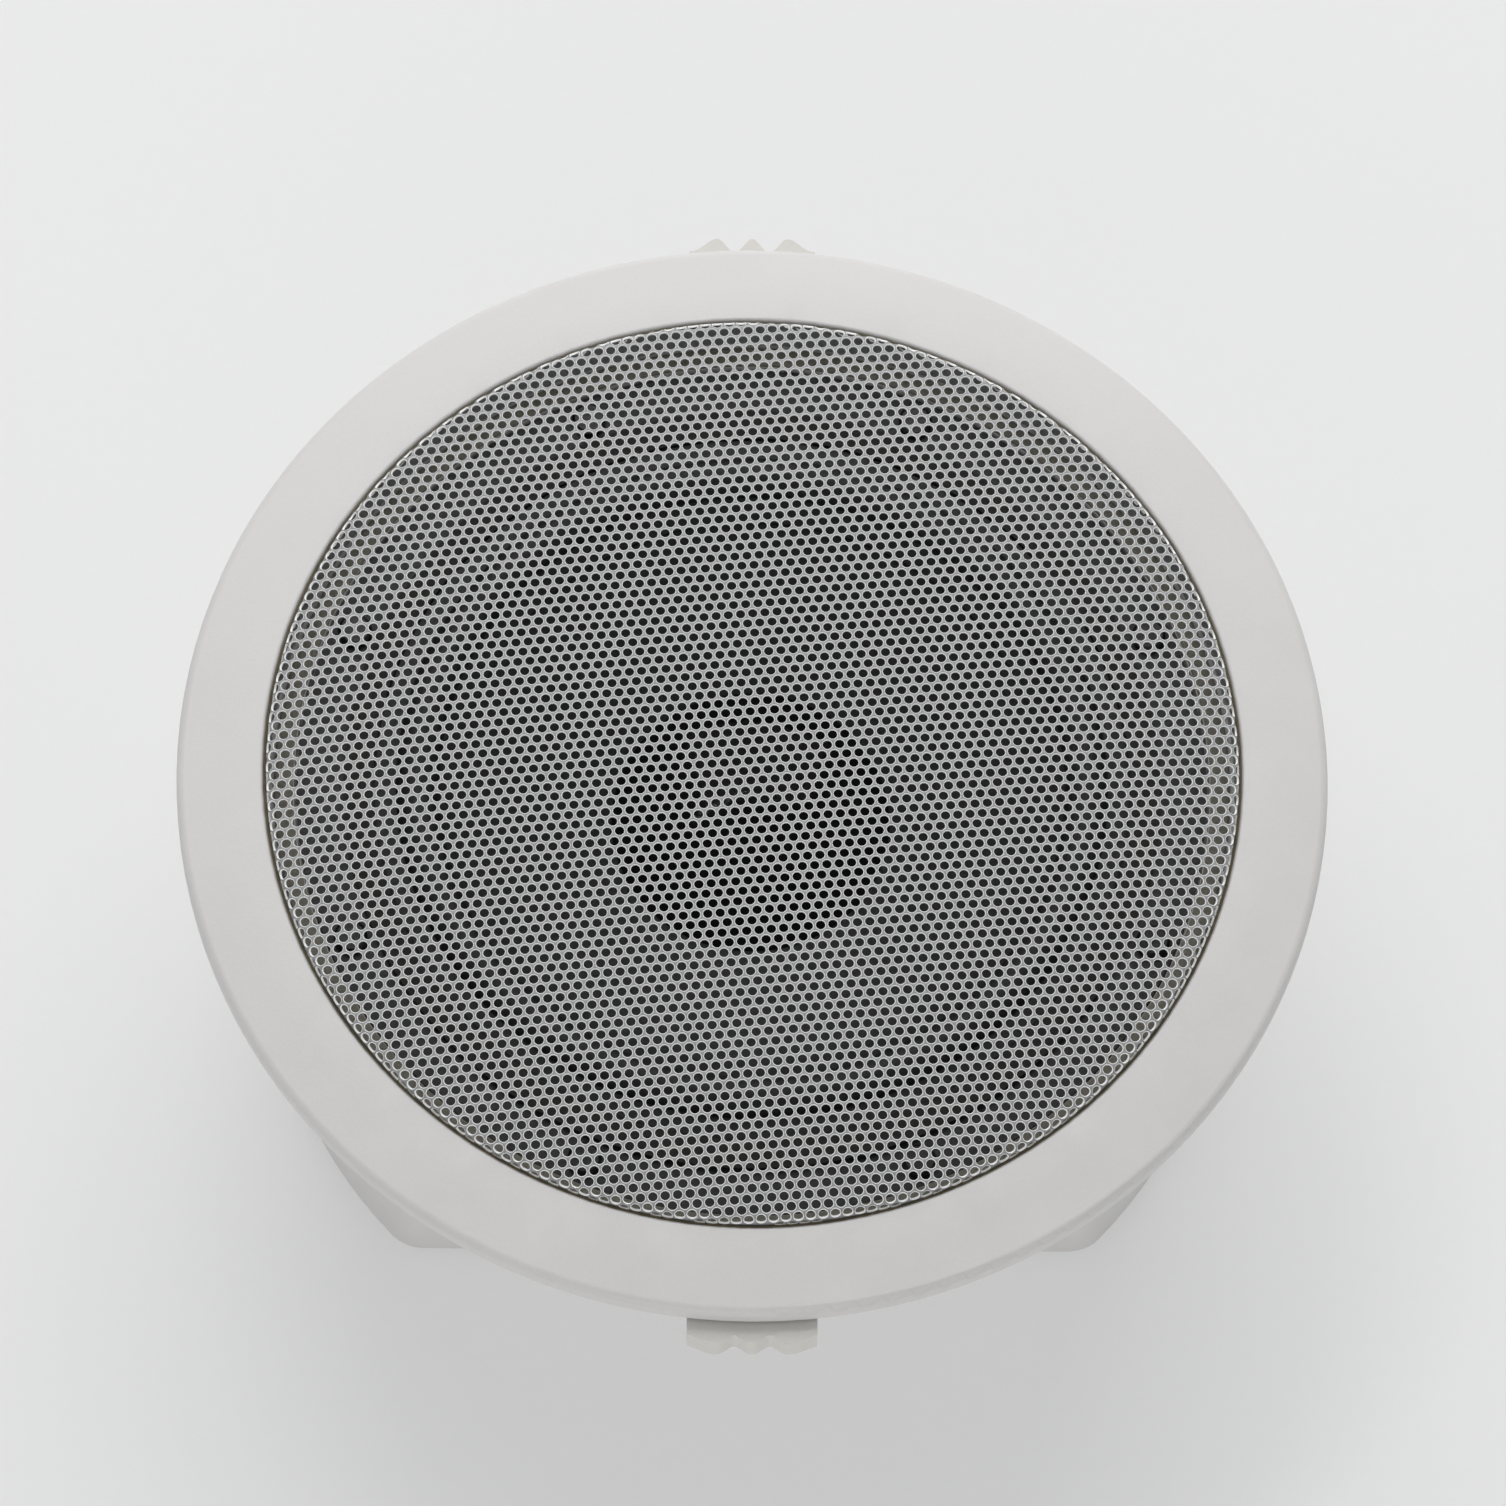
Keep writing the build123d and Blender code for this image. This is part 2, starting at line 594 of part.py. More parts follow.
# Clip arm: lever with a forked hub, a riser that clears the collar and a ridged tip
tip_radius = FLANGE_RADIUS + CLIP_REACH
tip_face = tip_radius - RIDGE_HEIGHT
tip_front = -CLIP_SEAT_GAP
tip_back = tip_front - CLIP_TIP_HEIGHT
riser_inside = COLLAR_RADIUS + CLIP_BODY_GAP
riser_outside = riser_inside + CLIP_WALL
arm_top = BODY_Z - CLIP_BODY_GAP
arm_bottom = arm_top - CLIP_WALL
arm_slope = math.atan2(arm_bottom - PIVOT_Z + HUB_RADIUS, riser_outside - PIVOT_RADIUS)
coil_room = SPRING_RADIUS + SPRING_WIRE / 2 + SPRING_PLAY
groove_depth = LEG_LINE - SPRING_WIRE / 2 - SPRING_SEAT
with BuildPart() as clip_arm_upper:
    with BuildSketch(Plane.YZ):
        with BuildLine():
            Polyline(
                (PIVOT_RADIUS, PIVOT_Z + HUB_RADIUS),
                (riser_inside, arm_top),
                (riser_inside, tip_front),
                (tip_face, tip_front),
                (tip_face, tip_back),
                (tip_face - CLIP_WALL, tip_back),
                (tip_face - CLIP_WALL, tip_front - CLIP_WALL),
                (riser_outside, tip_front - CLIP_WALL),
                (riser_outside, arm_bottom),
                (PIVOT_RADIUS, PIVOT_Z - HUB_RADIUS),
                close=True,
            )
        make_face()
        with Locations((PIVOT_RADIUS, PIVOT_Z)):
            Circle(HUB_RADIUS)
    extrude(amount=CLIP_WIDTH / 2, both=True)
    # Gussets under the tip
    for gusset_x in (-CLIP_WIDTH / 2, -CLIP_WEB / 2, CLIP_WIDTH / 2 - CLIP_WEB):
        with BuildSketch(Plane.YZ.offset(gusset_x)):
            with BuildLine():
                Polyline(
                    (riser_inside, tip_front),
                    (tip_face, tip_front),
                    (tip_face, tip_back),
                    (riser_outside, arm_bottom),
                    (riser_inside, arm_bottom),
                    close=True,
                )
            make_face()
        extrude(amount=CLIP_WEB)
    # Ridges on the end face
    with BuildSketch(Plane.XY.offset(tip_back)):
        with Locations((0, tip_radius - RIDGE_RADIUS)):
            with GridLocations(RIDGE_PITCH, 0, RIDGE_COUNT, 1):
                Circle(RIDGE_RADIUS)
    extrude(amount=CLIP_TIP_HEIGHT)
    # Fork for the spring's coil and a groove for its leg
    with BuildSketch(Plane.YZ):
        with Locations((PIVOT_RADIUS, PIVOT_Z)):
            Rectangle(2 * HUB_RADIUS + coil_room, 4 * HUB_RADIUS)
        with Locations(Location((PIVOT_RADIUS, PIVOT_Z), (0, 0, math.degrees(arm_slope)))):
            with Locations((0, -groove_depth)):
                Rectangle(SPRING_LEG + SPRING_WIRE, HUB_RADIUS, align=(Align.MIN, Align.MAX))
    extrude(amount=SPRING_LENGTH / 2 + SPRING_PLAY, both=True, mode=Mode.SUBTRACT)
    with BuildSketch(Plane.YZ):
        with Locations((PIVOT_RADIUS, PIVOT_Z)):
            Circle(PIN_RADIUS + PIN_PLAY)
    extrude(amount=CLIP_WIDTH, both=True, mode=Mode.SUBTRACT)
finish(clip_arm_upper, "clip_arm_upper")
with BuildPart() as clip_arm_lower:
    mirror(clip_arm_upper.part, about=Plane.XZ)
finish(clip_arm_lower, "clip_arm_lower")

# Clip pin: pressed through both ears
with BuildPart() as clip_pin_upper:
    with BuildSketch(Plane.YZ):
        with Locations((PIVOT_RADIUS, PIVOT_Z)):
            Circle(PIN_RADIUS)
    extrude(amount=EAR_INSIDE + EAR_WALL + PIN_STANDOUT, both=True)
finish(clip_pin_upper, "clip_pin_upper")
with BuildPart() as clip_pin_lower:
    mirror(clip_pin_upper.part, about=Plane.XZ)
finish(clip_pin_lower, "clip_pin_lower")

# Clip spring: close-wound coil as a sleeve, one leg in the arm's groove and one on the flat of the box
leg_x = (SPRING_LENGTH - SPRING_WIRE) / 2
pivot = Vector(0, PIVOT_RADIUS, PIVOT_Z)
foot_z = PIVOT_Z - SPRING_LEG
foot = Vector(0, flat_y(foot_z) + SPRING_WIRE / 2 + SPRING_SEAT, foot_z)
foot_turn = math.atan2(foot.Z - pivot.Z, foot.Y - pivot.Y) + math.acos(LEG_LINE / (foot - pivot).length)
arm_tangent = pivot + Vector(0, math.sin(arm_slope), -math.cos(arm_slope)) * LEG_LINE
arm_end = arm_tangent + Vector(0, math.cos(arm_slope), math.sin(arm_slope)) * SPRING_LEG
box_tangent = pivot + Vector(0, math.cos(foot_turn), math.sin(foot_turn)) * LEG_LINE
with BuildPart() as clip_spring_upper:
    with BuildSketch(Plane.YZ):
        with Locations((PIVOT_RADIUS, PIVOT_Z)):
            Circle(SPRING_RADIUS + SPRING_WIRE / 2)
            Circle(SPRING_RADIUS - SPRING_WIRE / 2, mode=Mode.SUBTRACT)
    extrude(amount=SPRING_LENGTH / 2, both=True)
    for tangent, end, x in ((arm_tangent, arm_end, leg_x), (box_tangent, foot, -leg_x)):
        start = tangent + (end - tangent).normalized() * LEG_LEAD + Vector(x, 0, 0)
        with BuildSketch(Plane(start, x_dir=(1, 0, 0), z_dir=end - tangent)):
            Circle(SPRING_WIRE / 2)
        extrude(amount=(end - tangent).length - LEG_LEAD)
finish(clip_spring_upper, "clip_spring_upper")
with BuildPart() as clip_spring_lower:
    mirror(clip_spring_upper.part, about=Plane.XZ)
finish(clip_spring_lower, "clip_spring_lower")

# Terminal block: push-in block in the pocket of the back box
with BuildPart() as terminal_block:
    with BuildSketch(Plane.XY.offset(BOX_BACK_Z + TERMINAL_SINK)):
        with Locations((TERMINAL_OFFSET, 0)):
            Rectangle(TERMINAL_LENGTH, TERMINAL_WIDTH)
    extrude(amount=TERMINAL_HEIGHT)
    with BuildSketch(Plane.XY.offset(BOX_BACK_Z + TERMINAL_SINK)):
        with Locations((TERMINAL_OFFSET, 0)):
            with GridLocations(0, POLE_PITCH, 1, POLE_COUNT):
                Circle(CABLE_HOLE_RADIUS)
    extrude(amount=CABLE_HOLE_DEPTH, mode=Mode.SUBTRACT)
finish(terminal_block, "terminal_block")

# Terminal strip: board under the basket's spider ledge with two solder tabs
strip_top = SPIDER_Z - BASKET_SHEET
strip_x = SPIDER_RADIUS - SPIDER_LEDGE / 2
strip_height = strip_top - PLATE_Z - STRIP_GAP
tab_z = strip_top - strip_height / 2
lead_x = MAGNET_RADIUS + LEAD_CLEARANCE
with BuildPart() as terminal_strip:
    with BuildSketch(Plane.XY.offset(strip_top)):
        with Locations((strip_x, 0)):
            Rectangle(STRIP_THICKNESS, STRIP_WIDTH)
    extrude(amount=-strip_height)
    with BuildSketch(Plane.YZ.offset(strip_x)):
        with Locations((0, tab_z)):
            with GridLocations(POLE_PITCH, 0, POLE_COUNT, 1):
                Rectangle(TAB_WIDTH, TAB_THICKNESS)
    extrude(amount=lead_x + LEAD_RADIUS - strip_x)
finish(terminal_strip, "terminal_strip")

# Speaker leads: from the terminal block through the roof of its pocket, and past the magnet to the tabs
lead_end_z = tab_z - TAB_THICKNESS / 2
lead_turn_z = (terminal_top + lead_end_z) / 2
with BuildPart() as speaker_leads:
    for pole_y in (-POLE_PITCH / 2, POLE_PITCH / 2):
        with BuildLine() as route:
            Bezier(
                (TERMINAL_OFFSET, pole_y, terminal_top),
                (TERMINAL_OFFSET, pole_y, lead_turn_z),
                (lead_x, pole_y, lead_turn_z),
                (lead_x, pole_y, lead_end_z),
            )
        with BuildSketch(Plane(route.line @ 0, z_dir=route.line % 0)):
            RegularPolygon(LEAD_RADIUS, LEAD_SIDES)
        sweep(path=route.line)
finish(speaker_leads, "speaker_leads")
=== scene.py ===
# %% [markdown]
# # An in-ceiling loudspeaker
# The real object is a round white ceiling speaker on a pale surface: a moulded flange ring, a domed
# grille of perforated steel, a tub behind it, and two sprung clips that clamp the ceiling panel. The
# CAD frame already holds every rigid solid in its right place, so this lesson dresses it: fine
# perforations, smooth driver parts, wound springs and the finish of each material.

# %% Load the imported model
import json
import math

import bmesh
import bpy
from mathutils import Matrix, Vector


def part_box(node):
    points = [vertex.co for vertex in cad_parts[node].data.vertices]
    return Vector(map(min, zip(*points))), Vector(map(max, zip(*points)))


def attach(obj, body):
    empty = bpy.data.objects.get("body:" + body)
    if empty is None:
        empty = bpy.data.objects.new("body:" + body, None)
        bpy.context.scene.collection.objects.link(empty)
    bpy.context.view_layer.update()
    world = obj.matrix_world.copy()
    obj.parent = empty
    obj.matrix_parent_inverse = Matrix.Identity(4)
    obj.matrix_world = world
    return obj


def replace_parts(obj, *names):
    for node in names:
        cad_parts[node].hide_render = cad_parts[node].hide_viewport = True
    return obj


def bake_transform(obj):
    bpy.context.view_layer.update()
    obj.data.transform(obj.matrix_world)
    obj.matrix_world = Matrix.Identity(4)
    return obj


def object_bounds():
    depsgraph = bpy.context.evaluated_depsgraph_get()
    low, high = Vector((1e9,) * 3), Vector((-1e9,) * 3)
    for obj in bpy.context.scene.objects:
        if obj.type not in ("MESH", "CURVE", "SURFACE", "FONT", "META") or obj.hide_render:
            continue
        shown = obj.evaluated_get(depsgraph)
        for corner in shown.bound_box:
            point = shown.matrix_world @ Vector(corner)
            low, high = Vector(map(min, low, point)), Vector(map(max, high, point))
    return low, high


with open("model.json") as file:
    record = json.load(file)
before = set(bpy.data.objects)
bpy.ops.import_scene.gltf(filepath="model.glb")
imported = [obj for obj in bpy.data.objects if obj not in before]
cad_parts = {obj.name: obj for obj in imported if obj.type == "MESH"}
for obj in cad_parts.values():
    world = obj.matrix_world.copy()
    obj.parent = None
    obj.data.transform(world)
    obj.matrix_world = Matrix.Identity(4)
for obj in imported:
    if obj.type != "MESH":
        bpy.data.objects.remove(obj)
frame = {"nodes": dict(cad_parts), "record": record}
cad_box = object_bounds()
MM = 0.001
nodes = frame["nodes"]

# %% [markdown]
# ## Camera
# The photograph looks down on the speaker's face at about 68 degrees, from the side of its lower clip.
# A long lens from a little over two metres away gives the same mild perspective.

# %% Camera at the photograph's angle
PHOTO_PLACE = Vector((-0.0330, -0.8548, 2.0969))
PHOTO_TILT = 0.3893
PHOTO_ROLL = -0.0158
PHOTO_ANGLE = math.radians(7.607)
SIGHT_END = 30.0

camera = bpy.data.objects.new("photo_camera", bpy.data.cameras.new("photo_camera"))
bpy.context.collection.objects.link(camera)
camera.data.sensor_fit = "HORIZONTAL"
camera.data.angle = PHOTO_ANGLE
camera.data.clip_end = SIGHT_END
facing = Matrix.Rotation(PHOTO_ROLL, 4, "Y") @ Matrix.Rotation(PHOTO_TILT, 4, "X")
camera.matrix_world = Matrix.Translation(PHOTO_PLACE) @ facing
bpy.context.scene.camera = camera
print("camera distance:", round(PHOTO_PLACE.length, 3), "m")

# %% [markdown]
# ## Helpers for node trees
# Materials and Geometry Nodes are both trees of nodes, so one small helper adds a node, sets its
# settings, and fills its inputs with numbers or with the outputs of other nodes.

# %% Node helpers


def add_node(tree, kind, inputs=(), **settings):
    """Add a node; inputs maps socket names or places to numbers or to other nodes' outputs."""
    node = tree.nodes.new(kind)
    for setting, value in settings.items():
        setattr(node, setting, value)
    for key, value in dict(inputs).items():
        if isinstance(value, bpy.types.NodeSocket):
            tree.links.new(value, node.inputs[key])
        else:
            node.inputs[key].default_value = value
    return node


def calc(tree, operation, *terms):
    """One step of arithmetic on numbers or outputs."""
    return add_node(tree, "ShaderNodeMath", dict(enumerate(terms)), operation=operation).outputs[0]


def vector_calc(tree, operation, first, second):
    """One step of vector arithmetic; scaling takes its number as the second term."""
    key = "Scale" if operation == "SCALE" else 1
    return add_node(tree, "ShaderNodeVectorMath", {0: first, key: second}, operation=operation).outputs[0]


def length(tree, vector):
    """Length of a vector."""
    return add_node(tree, "ShaderNodeVectorMath", {0: vector}, operation="LENGTH").outputs["Value"]


def point(tree, x=0.0, y=0.0, z=0.0):
    """Vector from three numbers or outputs."""
    return add_node(tree, "ShaderNodeCombineXYZ", {0: x, 1: y, 2: z}).outputs[0]


print("node helpers ready")

# %% [markdown]
# ## Finishes
# Every finish starts from one recipe: a Principled shader whose colour wanders a little between two
# close tones, whose roughness wanders with it, and whose surface has a fine bump at the grain's own
# scale. Moulded plastic, powder paint, rubber and plated steel differ in those numbers.
# The patterns read Object coordinates, which are metres on the part, so a grain of 0.4 mm stays 0.4 mm.

# %% One recipe for grained finishes
FINE_SHARE = 0.4
NOISE_LOW = 0.3
NOISE_HIGH = 0.7
ROUGHNESS_SPREAD = 0.06


def grained(name, tone, other_tone, roughness, grain, bump, metallic=0.0, drift=0.012, specular=0.5):
    """Material with a slow drift between two tones and a fine grain; sizes are in metres."""
    material = bpy.data.materials.new(name)
    material.use_nodes = True
    tree = material.node_tree
    shader = tree.nodes["Principled BSDF"]
    shader.inputs["Metallic"].default_value = metallic
    shader.inputs["Specular IOR Level"].default_value = specular
    place = add_node(tree, "ShaderNodeTexCoord").outputs["Object"]
    slow = add_node(
        tree, "ShaderNodeTexNoise", {"Vector": place, "Scale": 1 / drift, "Detail": 3.0}
    ).outputs["Fac"]
    fine = add_node(
        tree, "ShaderNodeTexNoise", {"Vector": place, "Scale": 1 / grain, "Detail": 2.0}
    ).outputs["Fac"]
    both = calc(tree, "MULTIPLY_ADD", fine, FINE_SHARE, calc(tree, "MULTIPLY", slow, 1 - FINE_SHARE))
    tones = add_node(tree, "ShaderNodeValToRGB", {"Fac": both})
    ends = zip(tones.color_ramp.elements, (NOISE_LOW, NOISE_HIGH), (tone, other_tone))
    for element, position, colour in ends:
        element.position = position
        element.color = (*colour, 1)
    tree.links.new(tones.outputs["Color"], shader.inputs["Base Color"])
    rough = add_node(
        tree, "ShaderNodeMapRange",
        {"Value": both, "From Min": NOISE_LOW, "From Max": NOISE_HIGH,
         "To Min": roughness - ROUGHNESS_SPREAD, "To Max": roughness + ROUGHNESS_SPREAD},
    )
    tree.links.new(rough.outputs["Result"], shader.inputs["Roughness"])
    relief = add_node(
        tree, "ShaderNodeBump", {"Height": fine, "Strength": bump, "Distance": grain / 2}
    )
    tree.links.new(relief.outputs["Normal"], shader.inputs["Normal"])
    return material


print("grain recipe ready")

# %% The finishes of this speaker
recipes = {
    "white_moulding": dict(
        tone=(0.660, 0.647, 0.637), other_tone=(0.700, 0.687, 0.677),
        roughness=0.46, grain=0.0006, bump=0.10),
    "grille_paint": dict(
        tone=(0.27, 0.273, 0.275), other_tone=(0.31, 0.313, 0.315),
        roughness=0.34, grain=0.0005, bump=0.06),
    "basket_paint": dict(
        tone=(0.008, 0.008, 0.008), other_tone=(0.014, 0.014, 0.013),
        roughness=0.45, grain=0.0008, bump=0.20),
    "gasket": dict(
        tone=(0.018, 0.017, 0.016), other_tone=(0.030, 0.028, 0.026),
        roughness=0.80, grain=0.0012, bump=0.40),
    "surround_rubber": dict(
        tone=(0.008, 0.008, 0.008), other_tone=(0.015, 0.015, 0.015),
        roughness=0.55, grain=0.0007, bump=0.15),
    "cone_skin": dict(
        tone=(0.006, 0.006, 0.006), other_tone=(0.015, 0.015, 0.016),
        roughness=0.50, grain=0.0010, bump=0.35),
    "cap_gloss": dict(
        tone=(0.006, 0.006, 0.006), other_tone=(0.010, 0.010, 0.010),
        roughness=0.10, grain=0.0030, bump=0.03, specular=0.05),
    "coil_former": dict(
        tone=(0.42, 0.17, 0.06), other_tone=(0.52, 0.23, 0.08),
        roughness=0.30, grain=0.0004, bump=0.20, metallic=0.7),
    "spider_cloth": dict(
        tone=(0.42, 0.30, 0.11), other_tone=(0.52, 0.39, 0.16),
        roughness=0.85, grain=0.0006, bump=0.60),
    "motor_steel": dict(
        tone=(0.42, 0.42, 0.40), other_tone=(0.52, 0.51, 0.48),
        roughness=0.36, grain=0.0006, bump=0.10, metallic=1.0),
    "ferrite": dict(
        tone=(0.040, 0.040, 0.042), other_tone=(0.065, 0.064, 0.065),
        roughness=0.62, grain=0.0009, bump=0.30),
    "screw_steel": dict(
        tone=(0.030, 0.030, 0.031), other_tone=(0.055, 0.054, 0.053),
        roughness=0.34, grain=0.0005, bump=0.15, metallic=0.9),
    "spring_steel": dict(
        tone=(0.50, 0.50, 0.49), other_tone=(0.60, 0.59, 0.57),
        roughness=0.26, grain=0.0004, bump=0.08, metallic=1.0),
    "clip_nylon": dict(
        tone=(0.66, 0.64, 0.60), other_tone=(0.71, 0.69, 0.65),
        roughness=0.50, grain=0.0008, bump=0.14),
    "terminal_plastic": dict(
        tone=(0.020, 0.020, 0.021), other_tone=(0.032, 0.032, 0.033),
        roughness=0.48, grain=0.0006, bump=0.18),
    "strip_board": dict(
        tone=(0.16, 0.075, 0.030), other_tone=(0.22, 0.11, 0.045),
        roughness=0.60, grain=0.0007, bump=0.25),
    "lead_sleeve": dict(
        tone=(0.030, 0.030, 0.031), other_tone=(0.045, 0.044, 0.043),
        roughness=0.42, grain=0.0008, bump=0.10),
}
finishes = {name: grained(name, **recipe) for name, recipe in recipes.items()}
print("finishes:", len(finishes))

# %% [markdown]
# The drawn-in edge round every punched hole is given a painted highlight. The sheet's tree stores where
# those edges are in an attribute, and the paint mixes towards a near-white tone there.

# %% Painted highlight on the edges round the holes
RIM_HIGHLIGHT_ATTRIBUTE = "painted_rim_highlight"
RIM_HIGHLIGHT_TONE = (0.95, 0.95, 0.94)


def tinted_by(material, attribute, tone):
    """Mix a finish towards another tone where a stored attribute is high."""
    tree = material.node_tree
    base = tree.nodes["Principled BSDF"].inputs["Base Color"]
    where = add_node(tree, "ShaderNodeAttribute", attribute_name=attribute).outputs["Fac"]
    mix = add_node(
        tree, "ShaderNodeMixRGB", {"Fac": where, "Color1": base.links[0].from_socket, "Color2": (*tone, 1)})
    tree.links.new(mix.outputs[0], base)


# The near-white tone on the drawn-in hole edges is a painted highlight.
tinted_by(finishes["grille_paint"], RIM_HIGHLIGHT_ATTRIBUTE, RIM_HIGHLIGHT_TONE)
print("painted rim highlight mixed into the paint")

# %% Give every CAD node the finish of its slot
slot_of = {part["node"]: part["material_slot"] for part in frame["record"]["subparts"]}
for node, slot in slot_of.items():
    dressing = nodes[node].data.materials
    dressing.clear()
    dressing.append(finishes[slot])
print("nodes dressed:", len(slot_of))

# %% [markdown]
# ## Small mesh tools
# Most driver parts are turned shapes, so a helper spins a closed outline round the axis and closes the
# poles. A second helper marks the sharp edges, so that curved faces shade smoothly and corners stay
# crisp, and puts a mesh into the scene with its finish.

# %% Mesh helpers
CREASE = math.radians(32)
ON_AXIS = 1e-6


def place_mesh(name, mesh, slot, body=None, finish=None):
    """Put a mesh into the scene with the finish given, else its slot's finish; it rides on the body, if one
    is named.
    """
    piece = bpy.data.objects.new(name, mesh)
    bpy.context.collection.objects.link(piece)
    mesh.materials.clear()
    mesh.materials.append(finish or finishes[slot])
    if body:
        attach(piece, body)
    return piece


def shade(form, mesh, crease=CREASE):
    """Keep edges sharper than the crease, smooth the others, and write the mesh."""
    for edge in form.edges:
        edge.smooth = not edge.is_manifold or edge.calc_face_angle(0) < crease
    for face in form.faces:
        face.smooth = True
    form.to_mesh(mesh)
    form.free()
    return mesh


def turned(name, outline, slot, body=None, finish=None, segments=120, start=0.0, sectors=1):
    """Spin a closed outline of (radius, height), in millimetres; one of several sectors has end caps."""
    form = bmesh.new()
    steps = segments // sectors
    angles = [start + 2 * math.pi * step / segments for step in range(steps + min(sectors - 1, 1))]
    rings = []
    for radius, height in outline:
        turns = angles if radius > ON_AXIS else angles[:1]
        rings.append([
            form.verts.new((radius * MM * math.cos(a), radius * MM * math.sin(a), height * MM))
            for a in turns
        ])
    for ring, following in zip(rings, rings[1:] + rings[:1]):
        for step in range(steps):
            corners = [
                ring[step % len(ring)], ring[(step + 1) % len(ring)],
                following[(step + 1) % len(following)], following[step % len(following)],
            ]
            corners = list(dict.fromkeys(corners))
            if len(corners) > 2:
                form.faces.new(corners)
    if sectors > 1:
        form.faces.new([ring[0] for ring in rings])
        form.faces.new([ring[-1] for ring in rings])
    bmesh.ops.recalc_face_normals(form, faces=form.faces)
    return place_mesh(name, shade(form, bpy.data.meshes.new(name)), slot, body, finish)


print("mesh helpers ready")

# %% [markdown]
# ## Moulded shells and clips
# The flange ring, the tub and the clip arms are mouldings with small rounded edges. Their solids have the
# right shape already, so each is copied, its loose triangles are merged, and a Weighted Normal modifier
# lets the narrow chamfers shade as rounds while the broad faces stay flat. The copies of the clips are
# trimmed behind their half-round ridges, which the next step replaces.

# %% Smooth copies of the moulded solids
MERGE_DISTANCE = 2e-6
CUT_TOLERANCE = 1e-7
WAVE_CUT = 116.1


def trim(form, cut):
    """Cut off what lies past this place on the Y axis and close the end."""
    bmesh.ops.bisect_plane(
        form, geom=[*form.verts, *form.edges, *form.faces], dist=CUT_TOLERANCE,
        plane_co=(0, cut * MM, 0), plane_no=(0, cut, 0), clear_outer=True)
    bmesh.ops.holes_fill(form, edges=[edge for edge in form.edges if edge.is_boundary], sides=0)


def smooth_copy(name, node, body, crease, cut=None):
    """Copy of a CAD node that shades its narrow edges round and replaces the node."""
    form = bmesh.new()
    form.from_mesh(nodes[node].data)
    bmesh.ops.remove_doubles(form, verts=form.verts, dist=MERGE_DISTANCE)
    if cut:
        trim(form, cut)
    mesh = shade(form, bpy.data.meshes.new(name), math.radians(crease))
    holder = bpy.data.objects.new(name, mesh)
    bpy.context.collection.objects.link(holder)
    broad = holder.modifiers.new("broad faces", "WEIGHTED_NORMAL")
    broad.weight = 100
    broad.keep_sharp = True
    graph = bpy.context.evaluated_depsgraph_get()
    smooth = bpy.data.meshes.new_from_object(holder.evaluated_get(graph), depsgraph=graph)
    bpy.data.objects.remove(holder)
    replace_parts(place_mesh(name, smooth, slot_of[node], body), node)


smooth_copy("flange_ring", "bezel_frame", "housing", crease=52)
smooth_copy("moulded_tub", "back_box", "housing", crease=40)
smooth_copy("clip_lever_upper", "clip_arm_upper", "clip_upper", crease=30, cut=WAVE_CUT)
smooth_copy("clip_lever_lower", "clip_arm_lower", "clip_lower", crease=30, cut=-WAVE_CUT)
print("clips trimmed at:", WAVE_CUT, "mm")

# %% [markdown]
# The end of each clip is a smooth wave of three crests that bites into the ceiling panel. A row of half
# cylinders would look mechanical, so a pad with a cosine wave is set on the trimmed end. The photograph
# shows deeper and narrower crests on the upper clip than on the lower one.

# %% Wavy pads on the ends of the clips
TIP_FRONT = -0.8
TIP_BACK = -7.4
TIP_HALF = 12.8
WAVE_CREST = 119.19
WAVE_PITCH = 7.1
WAVE_STEPS = 96


def wave(x):
    """Height share along the clip's width, from 0 to 1: three crests and sloping ends."""
    past = abs(x) - WAVE_PITCH
    turn = past / (TIP_HALF - WAVE_PITCH) / 2 if past > 0 else x / WAVE_PITCH
    return abs(math.cos(math.pi * turn))


def wavy_pad(name, end, side, height, power):
    """Closed pad on the trimmed end of a clip; its outer face is a wave, and power narrows the crests."""
    form = bmesh.new()
    places = [TIP_HALF * (2 * step / WAVE_STEPS - 1) for step in range(WAVE_STEPS + 1)]
    outline = [(x, WAVE_CREST - height * (1 - wave(x) ** power)) for x in places]
    outline += [(TIP_HALF, WAVE_CUT), (-TIP_HALF, WAVE_CUT)]
    front, back = (
        [form.verts.new((x * MM, side * y * MM, z * MM)) for x, y in outline] for z in (TIP_FRONT, TIP_BACK)
    )
    form.faces.new(front)
    form.faces.new(back)
    for spot in range(len(outline)):
        after = (spot + 1) % len(outline)
        form.faces.new([front[spot], front[after], back[after], back[spot]])
    bmesh.ops.recalc_face_normals(form, faces=form.faces)
    pad = place_mesh(name, shade(form, bpy.data.meshes.new(name)), "clip_nylon", f"clip_{end}")
    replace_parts(pad, f"clip_arm_{end}")


wavy_pad("clip_wave_upper", "upper", side=1, height=2.8, power=2.4)
wavy_pad("clip_wave_lower", "lower", side=-1, height=1.7, power=1.4)
print("wave crest:", WAVE_CREST)

# %% [markdown]
# ## The perforated grille
# The grille is one sheet of steel with about six thousand punched holes, pressed into a shallow dome
# with a rolled edge and a short skirt. Cutting holes with booleans would be slow, and a bump would not
# show the driver behind. So Geometry Nodes lays it out as a press tool does. Hexagonal cells with a hole
# in each are tiled into a flat sheet and a plain band closes its edge. Then each hole gets its drawn-in
# edge, the sheet gets its thickness, and the last step bends it over the dome, the roll and the skirt.
# The sheet is made in three strips that meet between rows of holes, to keep each mesh light.

